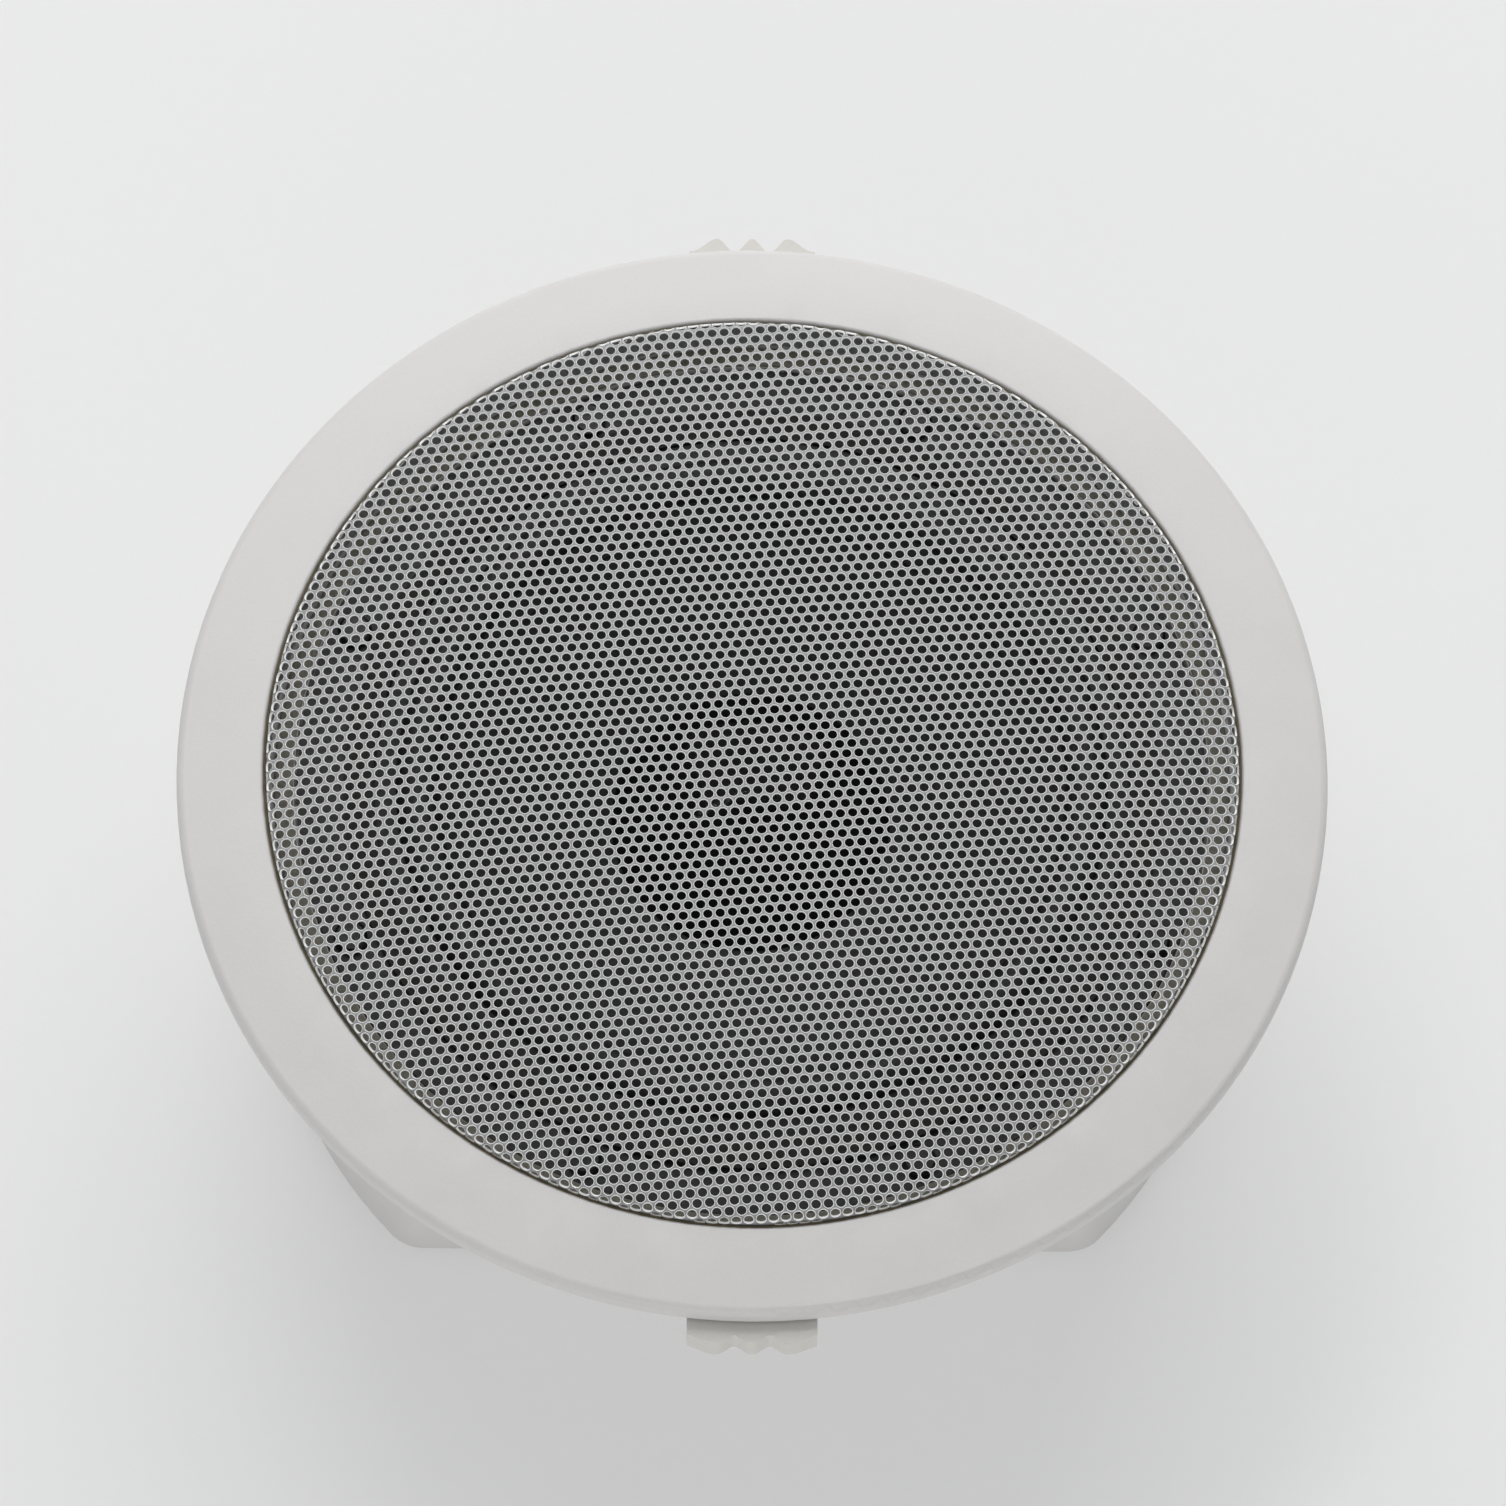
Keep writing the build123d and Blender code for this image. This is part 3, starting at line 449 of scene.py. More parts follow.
# %% Sizes of the sheet, in millimetres
HOLE_PITCH = 2.446
HOLE_RADIUS = 0.98
HOLE_CORNERS = 10
RIM_WIDTH = 0.14
RIM_DEPTH = 0.13
SHEET = 0.42
LATTICE_TURN = math.radians(5.18)
LATTICE_X = -0.973
LATTICE_Y = -0.892
LATTICE_SPAN = 104
SKIRT_MARGIN = 0.6
OUTLINE_CORNERS = 540
WELD = 0.002
CROWN_SQUARE = 1.914
CROWN_FOURTH = 2.076
EDGE_ROLL = 1.3
SPRING_OUT = 0.55
STRIP_EDGE = 30.0
SHEET_CREASE = math.radians(70)
HOLE_SENSE = 1.02

grille_low, grille_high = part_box("grille")
APEX = grille_high.z / MM
SKIRT_FOOT = grille_low.z / MM
DOME_RADIUS = grille_high.x / MM + SPRING_OUT - EDGE_ROLL
EDGE_FALL = math.atan((2 * CROWN_SQUARE + 4 * CROWN_FOURTH) / DOME_RADIUS)
ROLL_RADIUS = EDGE_ROLL / (1 - math.sin(EDGE_FALL))
ROLL_END = DOME_RADIUS + ROLL_RADIUS * (math.pi / 2 - EDGE_FALL)
ROLL_FOOT = APEX - CROWN_SQUARE - CROWN_FOURTH - ROLL_RADIUS * math.cos(EDGE_FALL)
FLAT_RADIUS = ROLL_END + ROLL_FOOT - SKIRT_FOOT
print("flat sheet radius:", round(FLAT_RADIUS, 2), "mm")

# %% Helpers that start, end and run a tree


def start_tree(name, sizes):
    """New Geometry Nodes tree with named number inputs; returns it with those inputs."""
    tree = bpy.data.node_groups.new(name, "GeometryNodeTree")
    tree.interface.new_socket("Geometry", in_out="OUTPUT", socket_type="NodeSocketGeometry")
    for size in sizes:
        tree.interface.new_socket(size, in_out="INPUT", socket_type="NodeSocketFloat")
    entry = tree.nodes.new("NodeGroupInput")
    return tree, {size: entry.outputs[size] for size in sizes}


def end_tree(tree, geometry, finish):
    """Realize instances, set the material and join the result to the tree's output."""
    solid = add_node(tree, "GeometryNodeRealizeInstances", {"Geometry": geometry}).outputs[0]
    coated = add_node(tree, "GeometryNodeSetMaterial", {"Geometry": solid, "Material": finish})
    add_node(tree, "NodeGroupOutput", {0: coated.outputs[0]})


def grow(tree, name, sizes):
    """Run a tree on an empty object and return the result as a plain mesh."""
    holder = bpy.data.objects.new(name, bpy.data.meshes.new(name))
    bpy.context.collection.objects.link(holder)
    modifier = holder.modifiers.new(name, "NODES")
    modifier.node_group = tree
    for item in tree.interface.items_tree:
        if item.in_out == "INPUT":
            modifier[item.identifier] = float(sizes[item.name])
    graph = bpy.context.evaluated_depsgraph_get()
    mesh = bpy.data.meshes.new_from_object(holder.evaluated_get(graph), depsgraph=graph)
    bpy.data.objects.remove(holder)
    return mesh


def position(tree):
    """Place of each point."""
    return tree.nodes.new("GeometryNodeInputPosition").outputs[0]


print("tree helpers ready")

# %% Centres of the holes


def hole_field(tree, size):
    """Points of a hexagonal field inside the limit radius."""
    index = tree.nodes.new("GeometryNodeInputIndex").outputs[0]
    half = LATTICE_SPAN // 2
    column = calc(tree, "SUBTRACT", calc(tree, "MODULO", index, LATTICE_SPAN), half)
    row = calc(tree, "SUBTRACT", calc(tree, "FLOOR", calc(tree, "DIVIDE", index, LATTICE_SPAN)), half)
    shifted = calc(tree, "MULTIPLY_ADD", calc(tree, "FLOORED_MODULO", row, 2), 0.5, column)
    x = calc(tree, "MULTIPLY_ADD", shifted, size["Pitch"], size["Field X"])
    step = calc(tree, "MULTIPLY", size["Pitch"], math.sqrt(3) / 2)
    y = calc(tree, "MULTIPLY_ADD", row, step, size["Field Y"])
    points = add_node(
        tree, "GeometryNodePoints", {"Count": LATTICE_SPAN**2, "Position": point(tree, x, y)})
    inside = calc(tree, "LESS_THAN", length(tree, position(tree)), size["Limit"])
    kept = add_node(
        tree, "GeometryNodeSeparateGeometry", {"Geometry": points.outputs[0], "Selection": inside},
        domain="POINT")
    return kept.outputs["Selection"]


def hole_sense(tree, points, rim_radius):
    """Fields over the sheet: the nearest hole's centre, the way from it, and the edges of holes and sheet."""
    spot = position(tree)
    nearest = add_node(tree, "GeometryNodeSampleNearest", {0: points, 1: spot}).outputs[0]
    centre = add_node(
        tree, "GeometryNodeSampleIndex", {"Geometry": points, "Value": spot, "Index": nearest},
        data_type="FLOAT_VECTOR").outputs[0]
    away = vector_calc(tree, "SUBTRACT", spot, centre)
    faces = tree.nodes.new("GeometryNodeInputMeshEdgeNeighbors").outputs[0]
    border = calc(tree, "COMPARE", faces, 1.0, 0.1)
    at_hole = calc(tree, "LESS_THAN", length(tree, away), calc(tree, "MULTIPLY", rim_radius, HOLE_SENSE))
    hole_edge = calc(tree, "MULTIPLY", border, at_hole)
    sheet_edge = calc(tree, "MULTIPLY", border, calc(tree, "SUBTRACT", 1.0, at_hole))
    return centre, away, at_hole, hole_edge, sheet_edge


print("field of holes ready")

# %% Flat cells and the band round them


def joined(tree, *parts):
    """Several geometries as one."""
    both = tree.nodes.new("GeometryNodeJoinGeometry")
    for part in parts:
        tree.links.new(part, both.inputs[0])
    return both.outputs[0]


def welded(tree, geometry):
    """Merge points that lie on each other."""
    return add_node(
        tree, "GeometryNodeMergeByDistance", {"Geometry": geometry, "Distance": WELD}).outputs[0]


def filled(tree, outer, inner):
    """Flat sheet between two closed curves."""
    return add_node(
        tree, "GeometryNodeFillCurve", {"Curve": joined(tree, outer, inner)}, mode="TRIANGLES").outputs[0]


def loop(tree, corners, radius):
    """Closed curve with this many corners."""
    return add_node(
        tree, "GeometryNodeCurvePrimitiveCircle",
        {"Resolution": corners, "Radius": radius}).outputs["Curve"]


def tiled(tree, points, size, rim_radius):
    """One hexagonal cell with a round hole at each point, welded into a sheet."""
    corner_radius = calc(tree, "DIVIDE", size["Pitch"], math.sqrt(3))
    hexagon = add_node(
        tree, "GeometryNodeTransform",
        {"Geometry": loop(tree, 6, corner_radius), "Rotation": (0, 0, math.pi / 6)}).outputs[0]
    cell = filled(tree, hexagon, loop(tree, HOLE_CORNERS, rim_radius))
    cells = add_node(tree, "GeometryNodeInstanceOnPoints", {"Points": points, "Instance": cell})
    return welded(tree, add_node(tree, "GeometryNodeRealizeInstances", {0: cells.outputs[0]}).outputs[0])


def flat_strip(tree, points, size, rim_radius, centre, sheet_edge):
    """Cells and a plain band to the round edge, cut down to the rows between Low and High."""
    cells = tiled(tree, points, size, rim_radius)
    ragged = add_node(tree, "GeometryNodeMeshToCurve", {"Mesh": cells, "Selection": sheet_edge}).outputs[0]
    band = filled(tree, loop(tree, OUTLINE_CORNERS, size["Flat radius"]), ragged)
    whole = welded(tree, joined(tree, cells, band))
    row = add_node(tree, "ShaderNodeSeparateXYZ", {0: centre}).outputs["Y"]
    in_strip = calc(
        tree, "MULTIPLY",
        calc(tree, "GREATER_THAN", row, size["Low"]), calc(tree, "LESS_THAN", row, size["High"]))
    return add_node(
        tree, "GeometryNodeSeparateGeometry", {"Geometry": whole, "Selection": in_strip},
        domain="FACE").outputs["Selection"]


print("flat strip ready")

# %% Drawn-in edges and thickness of the sheet


def pulled(tree, mesh, edges, offset, scale=1.0):
    """Extrude edges by a vector."""
    return add_node(
        tree, "GeometryNodeExtrudeMesh",
        {"Mesh": mesh, "Selection": edges, "Offset": offset, "Offset Scale": scale}, mode="EDGES")


def rim_highlighted(tree, mesh, faces):
    """Mark the faces of the drawn-in hole edges that carry the painted highlight."""
    return add_node(
        tree, "GeometryNodeStoreNamedAttribute",
        {"Geometry": mesh, "Selection": faces, "Name": RIM_HIGHLIGHT_ATTRIBUTE, "Value": 1.0},
        data_type="FLOAT", domain="FACE").outputs[0]


def pierced(tree, size):
    """Closed strip of flat sheet, its top at zero height, with a drawn-in edge at every hole."""
    points = hole_field(tree, size)
    rim_radius = calc(tree, "ADD", size["Hole radius"], size["Rim width"])
    centre, away, at_hole, hole_edge, sheet_edge = hole_sense(tree, points, rim_radius)
    top = flat_strip(tree, points, size, rim_radius, centre, sheet_edge)
    # Drawn-in edge of each hole
    rim = pulled(tree, top, hole_edge, (0, 0, 0), 0.0)
    shrink = calc(tree, "SUBTRACT", calc(tree, "DIVIDE", size["Hole radius"], rim_radius), 1.0)
    inward = vector_calc(tree, "SCALE", away, shrink)
    down = point(tree, z=calc(tree, "MULTIPLY", size["Rim depth"], -1.0))
    drawn = add_node(
        tree, "GeometryNodeSetPosition",
        {"Geometry": rim.outputs["Mesh"], "Selection": rim.outputs["Top"],
         "Offset": vector_calc(tree, "ADD", inward, down)})
    # The sides of the drawn-in edges carry the painted highlight.
    front = rim_highlighted(tree, drawn.outputs[0], rim.outputs["Side"])
    # Walls of the holes, then the wall round the sheet
    fall = point(tree, z=calc(tree, "SUBTRACT", size["Rim depth"], size["Sheet"]))
    wall = pulled(tree, front, rim.outputs["Top"], fall)
    drop = point(tree, z=calc(tree, "MULTIPLY", size["Sheet"], -1.0))
    skirt = pulled(tree, wall.outputs["Mesh"], sheet_edge, drop)
    # The back of the sheet is the front again, with each hole at its narrow radius
    narrowed = vector_calc(tree, "SCALE", away, calc(tree, "MULTIPLY", shrink, at_hole))
    under = add_node(
        tree, "GeometryNodeSetPosition",
        {"Geometry": top, "Offset": vector_calc(tree, "ADD", narrowed, drop)})
    back = add_node(tree, "GeometryNodeFlipFaces", {"Mesh": under.outputs[0]})
    return welded(tree, joined(tree, skirt.outputs["Mesh"], back.outputs[0]))


print("piercing step ready")

# %% Bend the flat sheet over the dome, the roll and the skirt


def pressed(tree, sheet, size):
    """Bend a flat sheet: radius along it becomes dome, roll and skirt; height follows the normal."""
    parts = add_node(tree, "ShaderNodeSeparateXYZ", {0: position(tree)}).outputs
    along = length(tree, point(tree, parts["X"], parts["Y"]))
    dome = calc(tree, "MINIMUM", along, size["Dome radius"])
    share = calc(tree, "POWER", calc(tree, "DIVIDE", dome, size["Dome radius"]), 2.0)
    inner = calc(tree, "MULTIPLY_ADD", size["Crown fourth"], share, size["Crown square"])
    crown = calc(tree, "MULTIPLY", inner, share)
    steep = calc(tree, "MULTIPLY_ADD", calc(tree, "MULTIPLY", size["Crown fourth"], 4.0), share,
                 calc(tree, "MULTIPLY", size["Crown square"], 2.0))
    slope = calc(tree, "DIVIDE", calc(tree, "MULTIPLY", steep, dome),
                 calc(tree, "POWER", size["Dome radius"], 2.0))
    past = calc(tree, "SUBTRACT", along, dome)
    swing = calc(tree, "MINIMUM", calc(tree, "DIVIDE", past, size["Roll radius"]),
                 calc(tree, "SUBTRACT", math.pi / 2, size["Edge fall"]))
    turn = calc(tree, "ADD", size["Edge fall"], swing)
    tilt = calc(tree, "ADD", calc(tree, "ARCTANGENT", slope), swing)
    skirt = calc(tree, "SUBTRACT", past, calc(tree, "MULTIPLY", swing, size["Roll radius"]))
    out = calc(tree, "MULTIPLY", size["Roll radius"], calc(
        tree, "SUBTRACT", calc(tree, "SINE", turn), calc(tree, "SINE", size["Edge fall"])))
    fall = calc(tree, "MULTIPLY", size["Roll radius"], calc(
        tree, "SUBTRACT", calc(tree, "COSINE", size["Edge fall"]), calc(tree, "COSINE", turn)))
    radius = calc(tree, "MULTIPLY_ADD", parts["Z"], calc(tree, "SINE", tilt), calc(tree, "ADD", dome, out))
    height = calc(tree, "SUBTRACT", size["Apex"], calc(
        tree, "ADD", crown, calc(tree, "ADD", fall, skirt)))
    height = calc(tree, "MULTIPLY_ADD", parts["Z"], calc(tree, "COSINE", tilt), height)
    stretch = calc(tree, "DIVIDE", radius, along)
    x, y = (calc(tree, "MULTIPLY", parts[axis], stretch) for axis in "XY")
    bent = point(tree, x, y, height)
    formed = add_node(tree, "GeometryNodeSetPosition", {"Geometry": sheet, "Position": bent})
    return add_node(
        tree, "GeometryNodeTransform",
        {"Geometry": formed.outputs[0], "Rotation": (0, 0, LATTICE_TURN), "Scale": (MM, MM, MM)},
    ).outputs[0]


print("bending step ready")

# %% The whole tree of the sheet
sheet_sizes = {
    "Pitch": HOLE_PITCH, "Hole radius": HOLE_RADIUS, "Rim width": RIM_WIDTH, "Rim depth": RIM_DEPTH,
    "Sheet": SHEET, "Field X": LATTICE_X, "Field Y": LATTICE_Y, "Limit": ROLL_END + SKIRT_MARGIN,
    "Flat radius": FLAT_RADIUS, "Low": 0.0, "High": 0.0, "Dome radius": DOME_RADIUS,
    "Crown square": CROWN_SQUARE, "Crown fourth": CROWN_FOURTH, "Roll radius": ROLL_RADIUS,
    "Edge fall": EDGE_FALL, "Apex": APEX,
}
sheet_tree, sheet_inputs = start_tree("perforated sheet", sheet_sizes)
end_tree(sheet_tree, pressed(sheet_tree, pierced(sheet_tree, sheet_inputs), sheet_inputs),
         finishes["grille_paint"])
print("sheet tree nodes:", len(sheet_tree.nodes))

# %% Run the tree for the three strips of the grille
strips = {
    "grille_sheet_upper": (STRIP_EDGE, FLAT_RADIUS),
    "grille_sheet_middle": (-STRIP_EDGE, STRIP_EDGE),
    "grille_sheet_lower": (-FLAT_RADIUS, -STRIP_EDGE),
}
for name, (low, high) in strips.items():
    sheet_mesh = grow(sheet_tree, name, {**sheet_sizes, "Low": low, "High": high})
    sheet_form = bmesh.new()
    sheet_form.from_mesh(sheet_mesh)
    bmesh.ops.recalc_face_normals(sheet_form, faces=sheet_form.faces)
    loose = sum(not edge.is_manifold for edge in sheet_form.edges)
    shade(sheet_form, sheet_mesh, SHEET_CREASE)
    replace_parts(place_mesh(name, sheet_mesh, "grille_paint", "housing"), "grille")
    triangles = sum(len(face.vertices) - 2 for face in sheet_mesh.polygons)
    print(name, "triangles:", triangles, "open edges:", loose)

# %% [markdown]
# A dark brown strip stands in the gap between the grille's skirt and the ring, and a grey-brown sheet lies
# on the ledge inside the skirt. The first is painted shade of the narrow gap with a brownish tint, the thin
# dark line round the grille; the second is painted shade on the white ledge, seen through the outer holes.

# %% Painted shade round the grille
RECESS_FLOOR = -3.5
GAP_SHADE_STRIP = (97.08, 97.56)
GAP_SHADE_TOP = 6.1
GAP_SHADE_BEVEL = 0.2
LEDGE_SHADE_SHEET = (91.9, 95.7)
LEDGE_SHADE_THICKNESS = 0.9
LEDGE_SHADE_ROUND = (0.3, 0.2)
SHADE_STRIP_SEGMENTS = 180

# The dark brown strip is painted shade of the narrow gap, with a brownish tint.
gap_shade = grained(
    "gap_shade_strip", tone=(0.095, 0.078, 0.045), other_tone=(0.145, 0.120, 0.072),
    roughness=0.90, grain=0.0007, bump=0.60)
# The grey-brown sheet is painted shade on the white ledge.
ledge_shade = grained(
    "ledge_shade_sheet", tone=(0.21, 0.20, 0.165), other_tone=(0.27, 0.255, 0.215),
    roughness=0.90, grain=0.0007, bump=0.60)

inner, outer = GAP_SHADE_STRIP
shoulder = GAP_SHADE_TOP - GAP_SHADE_BEVEL
gap_outline = [
    (inner, RECESS_FLOOR), (outer, RECESS_FLOOR), (outer, shoulder),
    ((inner + outer) / 2, GAP_SHADE_TOP), (inner, shoulder),
]
turned("gap_shade_strip", gap_outline, "gasket", "housing", gap_shade, segments=SHADE_STRIP_SEGMENTS)

inner, outer = LEDGE_SHADE_SHEET
aside, below = LEDGE_SHADE_ROUND
ledge_top = RECESS_FLOOR + LEDGE_SHADE_THICKNESS
ledge_outline = [
    (inner, RECESS_FLOOR), (outer, RECESS_FLOOR), (outer, ledge_top - below),
    (outer - aside, ledge_top), (inner + aside, ledge_top), (inner, ledge_top - below),
]
turned("ledge_shade_sheet", ledge_outline, "gasket", "housing", ledge_shade, segments=SHADE_STRIP_SEGMENTS)
print("painted shade strips:", GAP_SHADE_STRIP, LEDGE_SHADE_SHEET)

# %% [markdown]
# ## The driver behind the grille
# Through the holes one sees a dark driver: a rubber half roll, a paper cone and a glossy dust cap. The
# solids are faceted stand-ins, so each is turned again here from a smooth outline on the same sizes.

# %% Cone and dust cap
CONE_RADIUS = 63.0
NECK_RADIUS = 13.45
FORMER_INNER = 12.9
FORMER_OUTER = 13.3
CONE_DEPTH = 26.0
CONE_SLOPE = CONE_DEPTH / (CONE_RADIUS - FORMER_OUTER)
CONE_STRETCH = math.hypot(1, CONE_SLOPE)
LANDING_HEIGHT = -4.1
LANDING_SKIN = 0.7
CONE_EDGE = LANDING_HEIGHT - LANDING_SKIN * CONE_STRETCH
CONE_SKIN = 0.9
CAP_RADIUS = 28.0
CAP_HEIGHT = 8.0
CAP_SKIN = 0.8
CAP_SEAT = 0.15
CURVE_STEPS = 16


def cone_height(radius):
    """Height of the cone's front face at a radius."""
    return CONE_EDGE - CONE_SLOPE * (CONE_RADIUS - radius)


shares = [step / CURVE_STEPS for step in range(CURVE_STEPS + 1)]
cone_front = [NECK_RADIUS + (CONE_RADIUS - NECK_RADIUS) * share for share in shares]
cone_outline = [(r, cone_height(r)) for r in cone_front]
cone_outline += [(r, cone_height(r) - CONE_SKIN * CONE_STRETCH) for r in reversed(cone_front)]
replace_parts(turned("paper_cone", cone_outline, "cone_skin", "cone_assembly"), "cone")

cap_foot = cone_height(CAP_RADIUS) + CAP_SEAT
cap_outline = [(CAP_RADIUS * share, cap_foot + CAP_HEIGHT * (1 - share**2)) for share in shares]
cap_inside = [(r, h - CAP_SKIN) for r, h in reversed(cap_outline[:-1])]
cap_lip = (CAP_RADIUS - CAP_SKIN, cap_foot - CONE_SLOPE * CAP_SKIN)
cap_whole = [*cap_outline, cap_lip, *cap_inside]
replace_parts(turned("glossy_cap", cap_whole, "cap_gloss", "cone_assembly"), "dust_cap")
print("cone edge at:", round(CONE_EDGE, 2), "mm, cap foot at:", round(cap_foot, 2), "mm")

# %% [markdown]
# The half roll and the cloth spider are soft rings: their outer edge is glued to the basket, and their
# inner edge moves with the cone. Each ring is turned as a row of sectors.

# %% A ring of sectors
SECTORS = 12


def flexing_ring(name, outline, slot, node, outer, inner):
    """Turn a ring in sectors, each a piece that replaces the node; outer and inner are not used."""
    for sector in range(SECTORS):
        start = 2 * math.pi * sector / SECTORS
        piece = turned(f"{name}_{sector:02d}", outline, slot, start=start, sectors=SECTORS)
        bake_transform(piece)
        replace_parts(piece, node)


print("sectors in each ring:", SECTORS)

# %% Half roll of the surround
ROLL_CENTRE = 67.0
ROLL_OUTSIDE = 4.4
ROLL_INSIDE = 3.6
LANDING_END = 75.5
LANDING_INNER = 58.5
HALF_SKIN = 0.4
ROLL_STEPS = 18
ROLL_LIP = 0.3
ROLL_FLEX = (71.0, 63.0)


def roll_arc(radius):
    """Points over the half roll, from its outer foot to its inner foot."""
    turns = [math.pi * step / ROLL_STEPS for step in range(ROLL_STEPS + 1)]
    return [(ROLL_CENTRE + radius * math.cos(a), LANDING_HEIGHT + radius * math.sin(a)) for a in turns]


landing_top = LANDING_HEIGHT + HALF_SKIN
landing_back = LANDING_HEIGHT - HALF_SKIN
inner_landing = LANDING_HEIGHT - CONE_SLOPE * (CONE_RADIUS - LANDING_INNER)
roll_outline = [
    (LANDING_END, landing_top),
    *(spot for spot in roll_arc(ROLL_OUTSIDE) if spot[1] > landing_top),
    (LANDING_INNER, inner_landing + HALF_SKIN),
    (LANDING_INNER, inner_landing - HALF_SKIN),
    *reversed(roll_arc(ROLL_INSIDE)),
    (ROLL_CENTRE + ROLL_INSIDE + ROLL_LIP, landing_back),
    (LANDING_END, landing_back),
]
flexing_ring("half_roll", roll_outline, "surround_rubber", "surround", *ROLL_FLEX)
print("points in the roll's outline:", len(roll_outline))

# %% Waves of the spider
SPIDER_HEIGHT = -38.3
SPIDER_SKIN = 0.8
SPIDER_WAVES = 4
SPIDER_SWELL = 0.7
SPIDER_INNER = 13.6
SPIDER_OUTER = 42.2
SWELL_START = 16.6
SWELL_SPAN = 19.6
STEPS_IN_WAVE = 8
SPIDER_FLEX = (36.0, 16.6)

cloth_path = [(SPIDER_INNER, 0.0)]
for step in range(STEPS_IN_WAVE * SPIDER_WAVES + 1):
    share = step / (STEPS_IN_WAVE * SPIDER_WAVES)
    swell = SPIDER_SWELL * math.sin(2 * math.pi * SPIDER_WAVES * share)
    cloth_path.append((SWELL_START + SWELL_SPAN * share, swell))
cloth_path.append((SPIDER_OUTER, 0.0))
cloth_outline = [(r, SPIDER_HEIGHT + h + SPIDER_SKIN) for r, h in cloth_path]
cloth_outline += [(r, SPIDER_HEIGHT + h) for r, h in reversed(cloth_path)]
flexing_ring("spider_cloth", cloth_outline, "spider_cloth", "spider", *SPIDER_FLEX)
print("waves in the spider:", SPIDER_WAVES)

# %% [markdown]
# The voice coil is a thin paper tube with copper wire wound on its lower end. The turns are too fine for
# the solid, so the tube is turned again with one small round for each turn.

# %% Wound voice coil
COIL_TURNS = 18
WINDING_TOP = -42.0
TURN_ROOT = 13.85
TURN_CREST = 14.1
TURN_LEAD = 0.02
TURN_ROUND = (0.3, 0.7)
COIL_SEGMENTS = 96

coil_low, coil_high = (corner.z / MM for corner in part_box("voice_coil"))
turn_step = (WINDING_TOP - coil_low) / COIL_TURNS
coil_outline = [(FORMER_INNER, coil_high), (FORMER_OUTER, coil_high), (FORMER_OUTER, WINDING_TOP)]
for turn in range(COIL_TURNS):
    top = WINDING_TOP - turn * turn_step
    coil_outline.append((TURN_ROOT, top - TURN_LEAD))
    coil_outline += [(TURN_CREST, top - share * turn_step) for share in TURN_ROUND]
coil_outline += [(TURN_ROOT, coil_low), (FORMER_INNER, coil_low)]
wound_coil = turned("wound_coil", coil_outline, "coil_former", "cone_assembly", segments=COIL_SEGMENTS)
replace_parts(wound_coil, "voice_coil")
print("coil turns:", COIL_TURNS)

# %% [markdown]
# ## Springs of the clips
# A torsion spring on each pin pulls its clip outwards. The solid is a plain sleeve with two legs. Here
# Geometry Nodes winds a real coil: a straight line of points is bent into a helix by the angle at each
# point, and a round wire follows it. The coil and its foot stay with the housing, and the leg that lies
# in the clip's groove rides on the clip.

# %% A tree that winds a coil
PIVOT_Y = 88.0
PIVOT_Z = -18.0
WIRE_RADIUS = 0.6
LEG_LINE = 2.8
LEG_LENGTH = 13.0
COIL_LENGTH = 6.0
COIL_POINTS = 120
ARM_SLOPE = math.radians(29.8)
FOOT_Y = 77.995
FOOT_Z = -31.0
WIRE_CORNERS = 10
WIRE_CREASE = math.radians(50)
WIRE_MERGE = 1e-7


def round_wire(tree, curve, radius):
    """A wire of this radius along a curve, in metres."""
    tube = add_node(
        tree, "GeometryNodeCurveToMesh",
        {"Curve": curve, "Profile Curve": loop(tree, WIRE_CORNERS, radius), "Fill Caps": True})
    return add_node(
        tree, "GeometryNodeTransform", {"Geometry": tube.outputs[0], "Scale": (MM, MM, MM)}).outputs[0]


coil_tree, coil = start_tree(
    "wound coil", ["Coil radius", "Wire radius", "First angle", "Sweep", "Length", "Pivot Y", "Pivot Z"])
rod = add_node(coil_tree, "GeometryNodeCurvePrimitiveLine", {"End": (1, 0, 0)}).outputs[0]
beads = add_node(coil_tree, "GeometryNodeResampleCurve", {"Curve": rod, "Count": COIL_POINTS}).outputs[0]
along = coil_tree.nodes.new("GeometryNodeSplineParameter").outputs["Factor"]
angle = calc(coil_tree, "MULTIPLY_ADD", along, coil["Sweep"], coil["First angle"])
cosine, sine = calc(coil_tree, "COSINE", angle), calc(coil_tree, "SINE", angle)
helix = point(
    coil_tree,
    calc(coil_tree, "MULTIPLY", coil["Length"], calc(coil_tree, "SUBTRACT", along, 0.5)),
    calc(coil_tree, "MULTIPLY_ADD", cosine, coil["Coil radius"], coil["Pivot Y"]),
    calc(coil_tree, "MULTIPLY_ADD", sine, coil["Coil radius"], coil["Pivot Z"]))
wound = add_node(coil_tree, "GeometryNodeSetPosition", {"Geometry": beads, "Position": helix}).outputs[0]
end_tree(coil_tree, round_wire(coil_tree, wound, coil["Wire radius"]), finishes["spring_steel"])
print("coil tree nodes:", len(coil_tree.nodes))

# %% A tree that draws a straight leg
leg_tree, leg = start_tree("straight leg", ["X", "From Y", "From Z", "To Y", "To Z", "Wire radius"])
leg_line = add_node(
    leg_tree, "GeometryNodeCurvePrimitiveLine",
    {"Start": point(leg_tree, leg["X"], leg["From Y"], leg["From Z"]),
     "End": point(leg_tree, leg["X"], leg["To Y"], leg["To Z"])}).outputs[0]
end_tree(leg_tree, round_wire(leg_tree, leg_line, leg["Wire radius"]), finishes["spring_steel"])
print("leg tree nodes:", len(leg_tree.nodes))

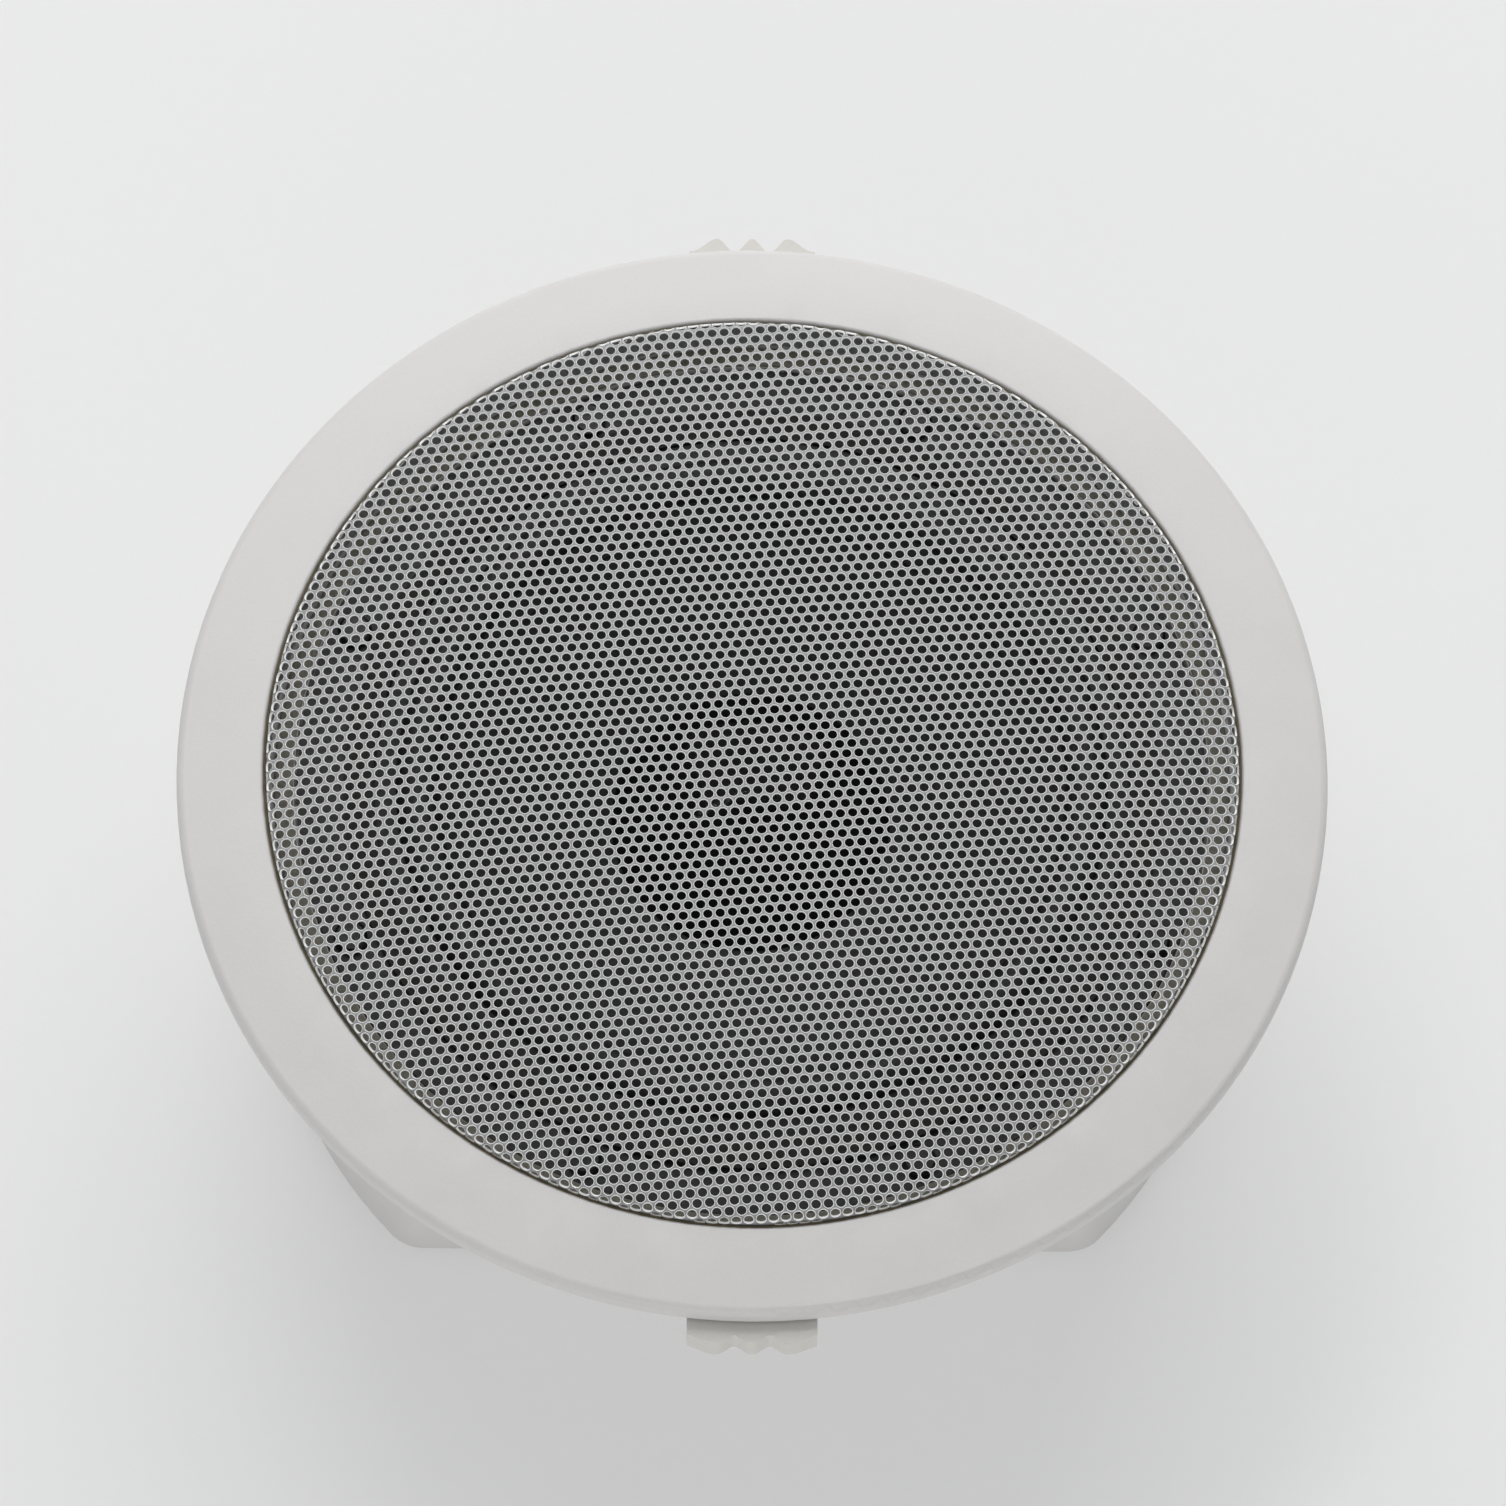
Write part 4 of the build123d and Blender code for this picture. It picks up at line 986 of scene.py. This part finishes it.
# %% Sizes of the coil and its legs
foot_reach = math.hypot(FOOT_Y - PIVOT_Y, FOOT_Z - PIVOT_Z)
foot_turn = math.atan2(FOOT_Z - PIVOT_Z, FOOT_Y - PIVOT_Y) + math.acos(LEG_LINE / foot_reach)
arm_turn = ARM_SLOPE - math.pi / 2
whole_turns = round((COIL_LENGTH / (2 * WIRE_RADIUS)) - (arm_turn - foot_turn) / (2 * math.pi))
coil_sizes = {
    "Coil radius": LEG_LINE, "Wire radius": WIRE_RADIUS, "First angle": foot_turn,
    "Sweep": arm_turn - foot_turn + 2 * math.pi * whole_turns, "Length": COIL_LENGTH,
    "Pivot Y": PIVOT_Y, "Pivot Z": PIVOT_Z,
}
foot_sizes = {
    "X": -COIL_LENGTH / 2, "From Y": PIVOT_Y + LEG_LINE * math.cos(foot_turn),
    "From Z": PIVOT_Z + LEG_LINE * math.sin(foot_turn), "To Y": FOOT_Y, "To Z": FOOT_Z,
    "Wire radius": WIRE_RADIUS,
}
arm_y = PIVOT_Y + LEG_LINE * math.cos(arm_turn)
arm_z = PIVOT_Z + LEG_LINE * math.sin(arm_turn)
arm_sizes = {
    "X": COIL_LENGTH / 2, "From Y": arm_y, "From Z": arm_z,
    "To Y": arm_y + LEG_LENGTH * math.cos(ARM_SLOPE), "To Z": arm_z + LEG_LENGTH * math.sin(ARM_SLOPE),
    "Wire radius": WIRE_RADIUS,
}
print("coil sweep in turns:", round(coil_sizes["Sweep"] / (2 * math.pi), 2))

# %% Wind the springs of both clips
for end in ("upper", "lower"):
    wires = {
        f"spring_coil_{end}": (coil_tree, coil_sizes, "housing"),
        f"spring_foot_{end}": (leg_tree, foot_sizes, "housing"),
        f"spring_arm_{end}": (leg_tree, arm_sizes, f"clip_{end}"),
    }
    for name, (tree, sizes, body) in wires.items():
        mesh = grow(tree, name, sizes)
        form = bmesh.new()
        form.from_mesh(mesh)
        bmesh.ops.remove_doubles(form, verts=form.verts, dist=WIRE_MERGE)
        if end == "lower":
            bmesh.ops.scale(form, vec=(1, -1, 1), verts=form.verts)
        bmesh.ops.recalc_face_normals(form, faces=form.faces)
        wire = place_mesh(name, shade(form, mesh, WIRE_CREASE), "spring_steel", body)
        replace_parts(wire, f"clip_spring_{end}")
    print("wires of the", end, "clip:", len(wires))

# %% [markdown]
# ## Floor and light
# The photograph was taken on a pale surface under broad soft light from above and behind the speaker.
# A large lamp overhead, a weaker one in front, a thin tube that glints on the dust cap and an even pale
# world give the same soft shade, at a level where a colour renders about as it is written.

# %% Floor
FLOOR_SIZE = 12.0
FLOOR_GAP = 0.0002
floor_height = cad_box[0].z - FLOOR_GAP
floor_mesh = bpy.data.meshes.new("floor")
half_floor = FLOOR_SIZE / 2
floor_mesh.from_pydata(
    [(x * half_floor, y * half_floor, floor_height) for x, y in ((-1, -1), (1, -1), (1, 1), (-1, 1))],
    [], [(0, 1, 2, 3)],
)
floor = bpy.data.objects.new("floor", floor_mesh)
bpy.context.collection.objects.link(floor)
floor_paper = grained(
    "floor_paper", tone=(0.83, 0.83, 0.83), other_tone=(0.85, 0.85, 0.85),
    roughness=0.8, grain=0.002, bump=0.03, drift=0.4, specular=0.0)
floor_mesh.materials.append(floor_paper)
print("floor at", round(floor_height, 4))

# %% [markdown]
# A studio sweep has its own light on it, so shadows on it are fainter than on a bare table. Light Path
# adds part of a plain white glow to the floor for the camera and for reflections; it lights nothing.

# %% Paler floor for the camera
GLOW_SHARE = 0.38
GLOW_LEVEL = 0.88
floor_tree = floor_paper.node_tree
rays = floor_tree.nodes.new("ShaderNodeLightPath").outputs
seen = calc(floor_tree, "ADD", rays["Is Camera Ray"], rays["Is Glossy Ray"])
seen = calc(floor_tree, "MINIMUM", calc(floor_tree, "ADD", seen, rays["Is Transmission Ray"]), 1.0)
glow = add_node(floor_tree, "ShaderNodeEmission", {"Strength": GLOW_LEVEL})
floor_mix = add_node(
    floor_tree, "ShaderNodeMixShader",
    {0: calc(floor_tree, "MULTIPLY", seen, GLOW_SHARE),
     1: floor_tree.nodes["Principled BSDF"].outputs[0], 2: glow.outputs[0]})
floor_tree.links.new(floor_mix.outputs[0], floor_tree.nodes["Material Output"].inputs["Surface"])
print("glow share:", GLOW_SHARE)

# %% Light
WORLD_TONE = (0.98, 0.99, 1.0)
WORLD_LEVEL = 0.45


def soft_lamp(name, place, width, height, power):
    """Rectangular area lamp aimed at the speaker."""
    lamp = bpy.data.objects.new(name, bpy.data.lights.new(name, "AREA"))
    bpy.context.collection.objects.link(lamp)
    lamp.data.shape = "RECTANGLE"
    lamp.data.size = width
    lamp.data.size_y = height
    lamp.data.energy = power
    lamp.location = place
    lamp.rotation_euler = (-Vector(place)).to_track_quat("-Z", "Y").to_euler()


soft_lamp("overhead_lamp", place=(0.10, 1.72, 1.42), width=2.0, height=2.0, power=31)
soft_lamp("front_lamp", place=(-0.20, -2.45, 0.28), width=1.6, height=1.0, power=16)
soft_lamp("tube_lamp", place=(-0.50, 0.96, 2.05), width=1.1, height=0.016, power=6)
world = bpy.data.worlds.new("studio")
bpy.context.scene.world = world
world.use_nodes = True
backdrop = world.node_tree.nodes["Background"]
backdrop.inputs["Color"].default_value = (*WORLD_TONE, 1)
backdrop.inputs["Strength"].default_value = WORLD_LEVEL
bpy.context.scene.view_settings.view_transform = "Standard"
print("lamps and world set")
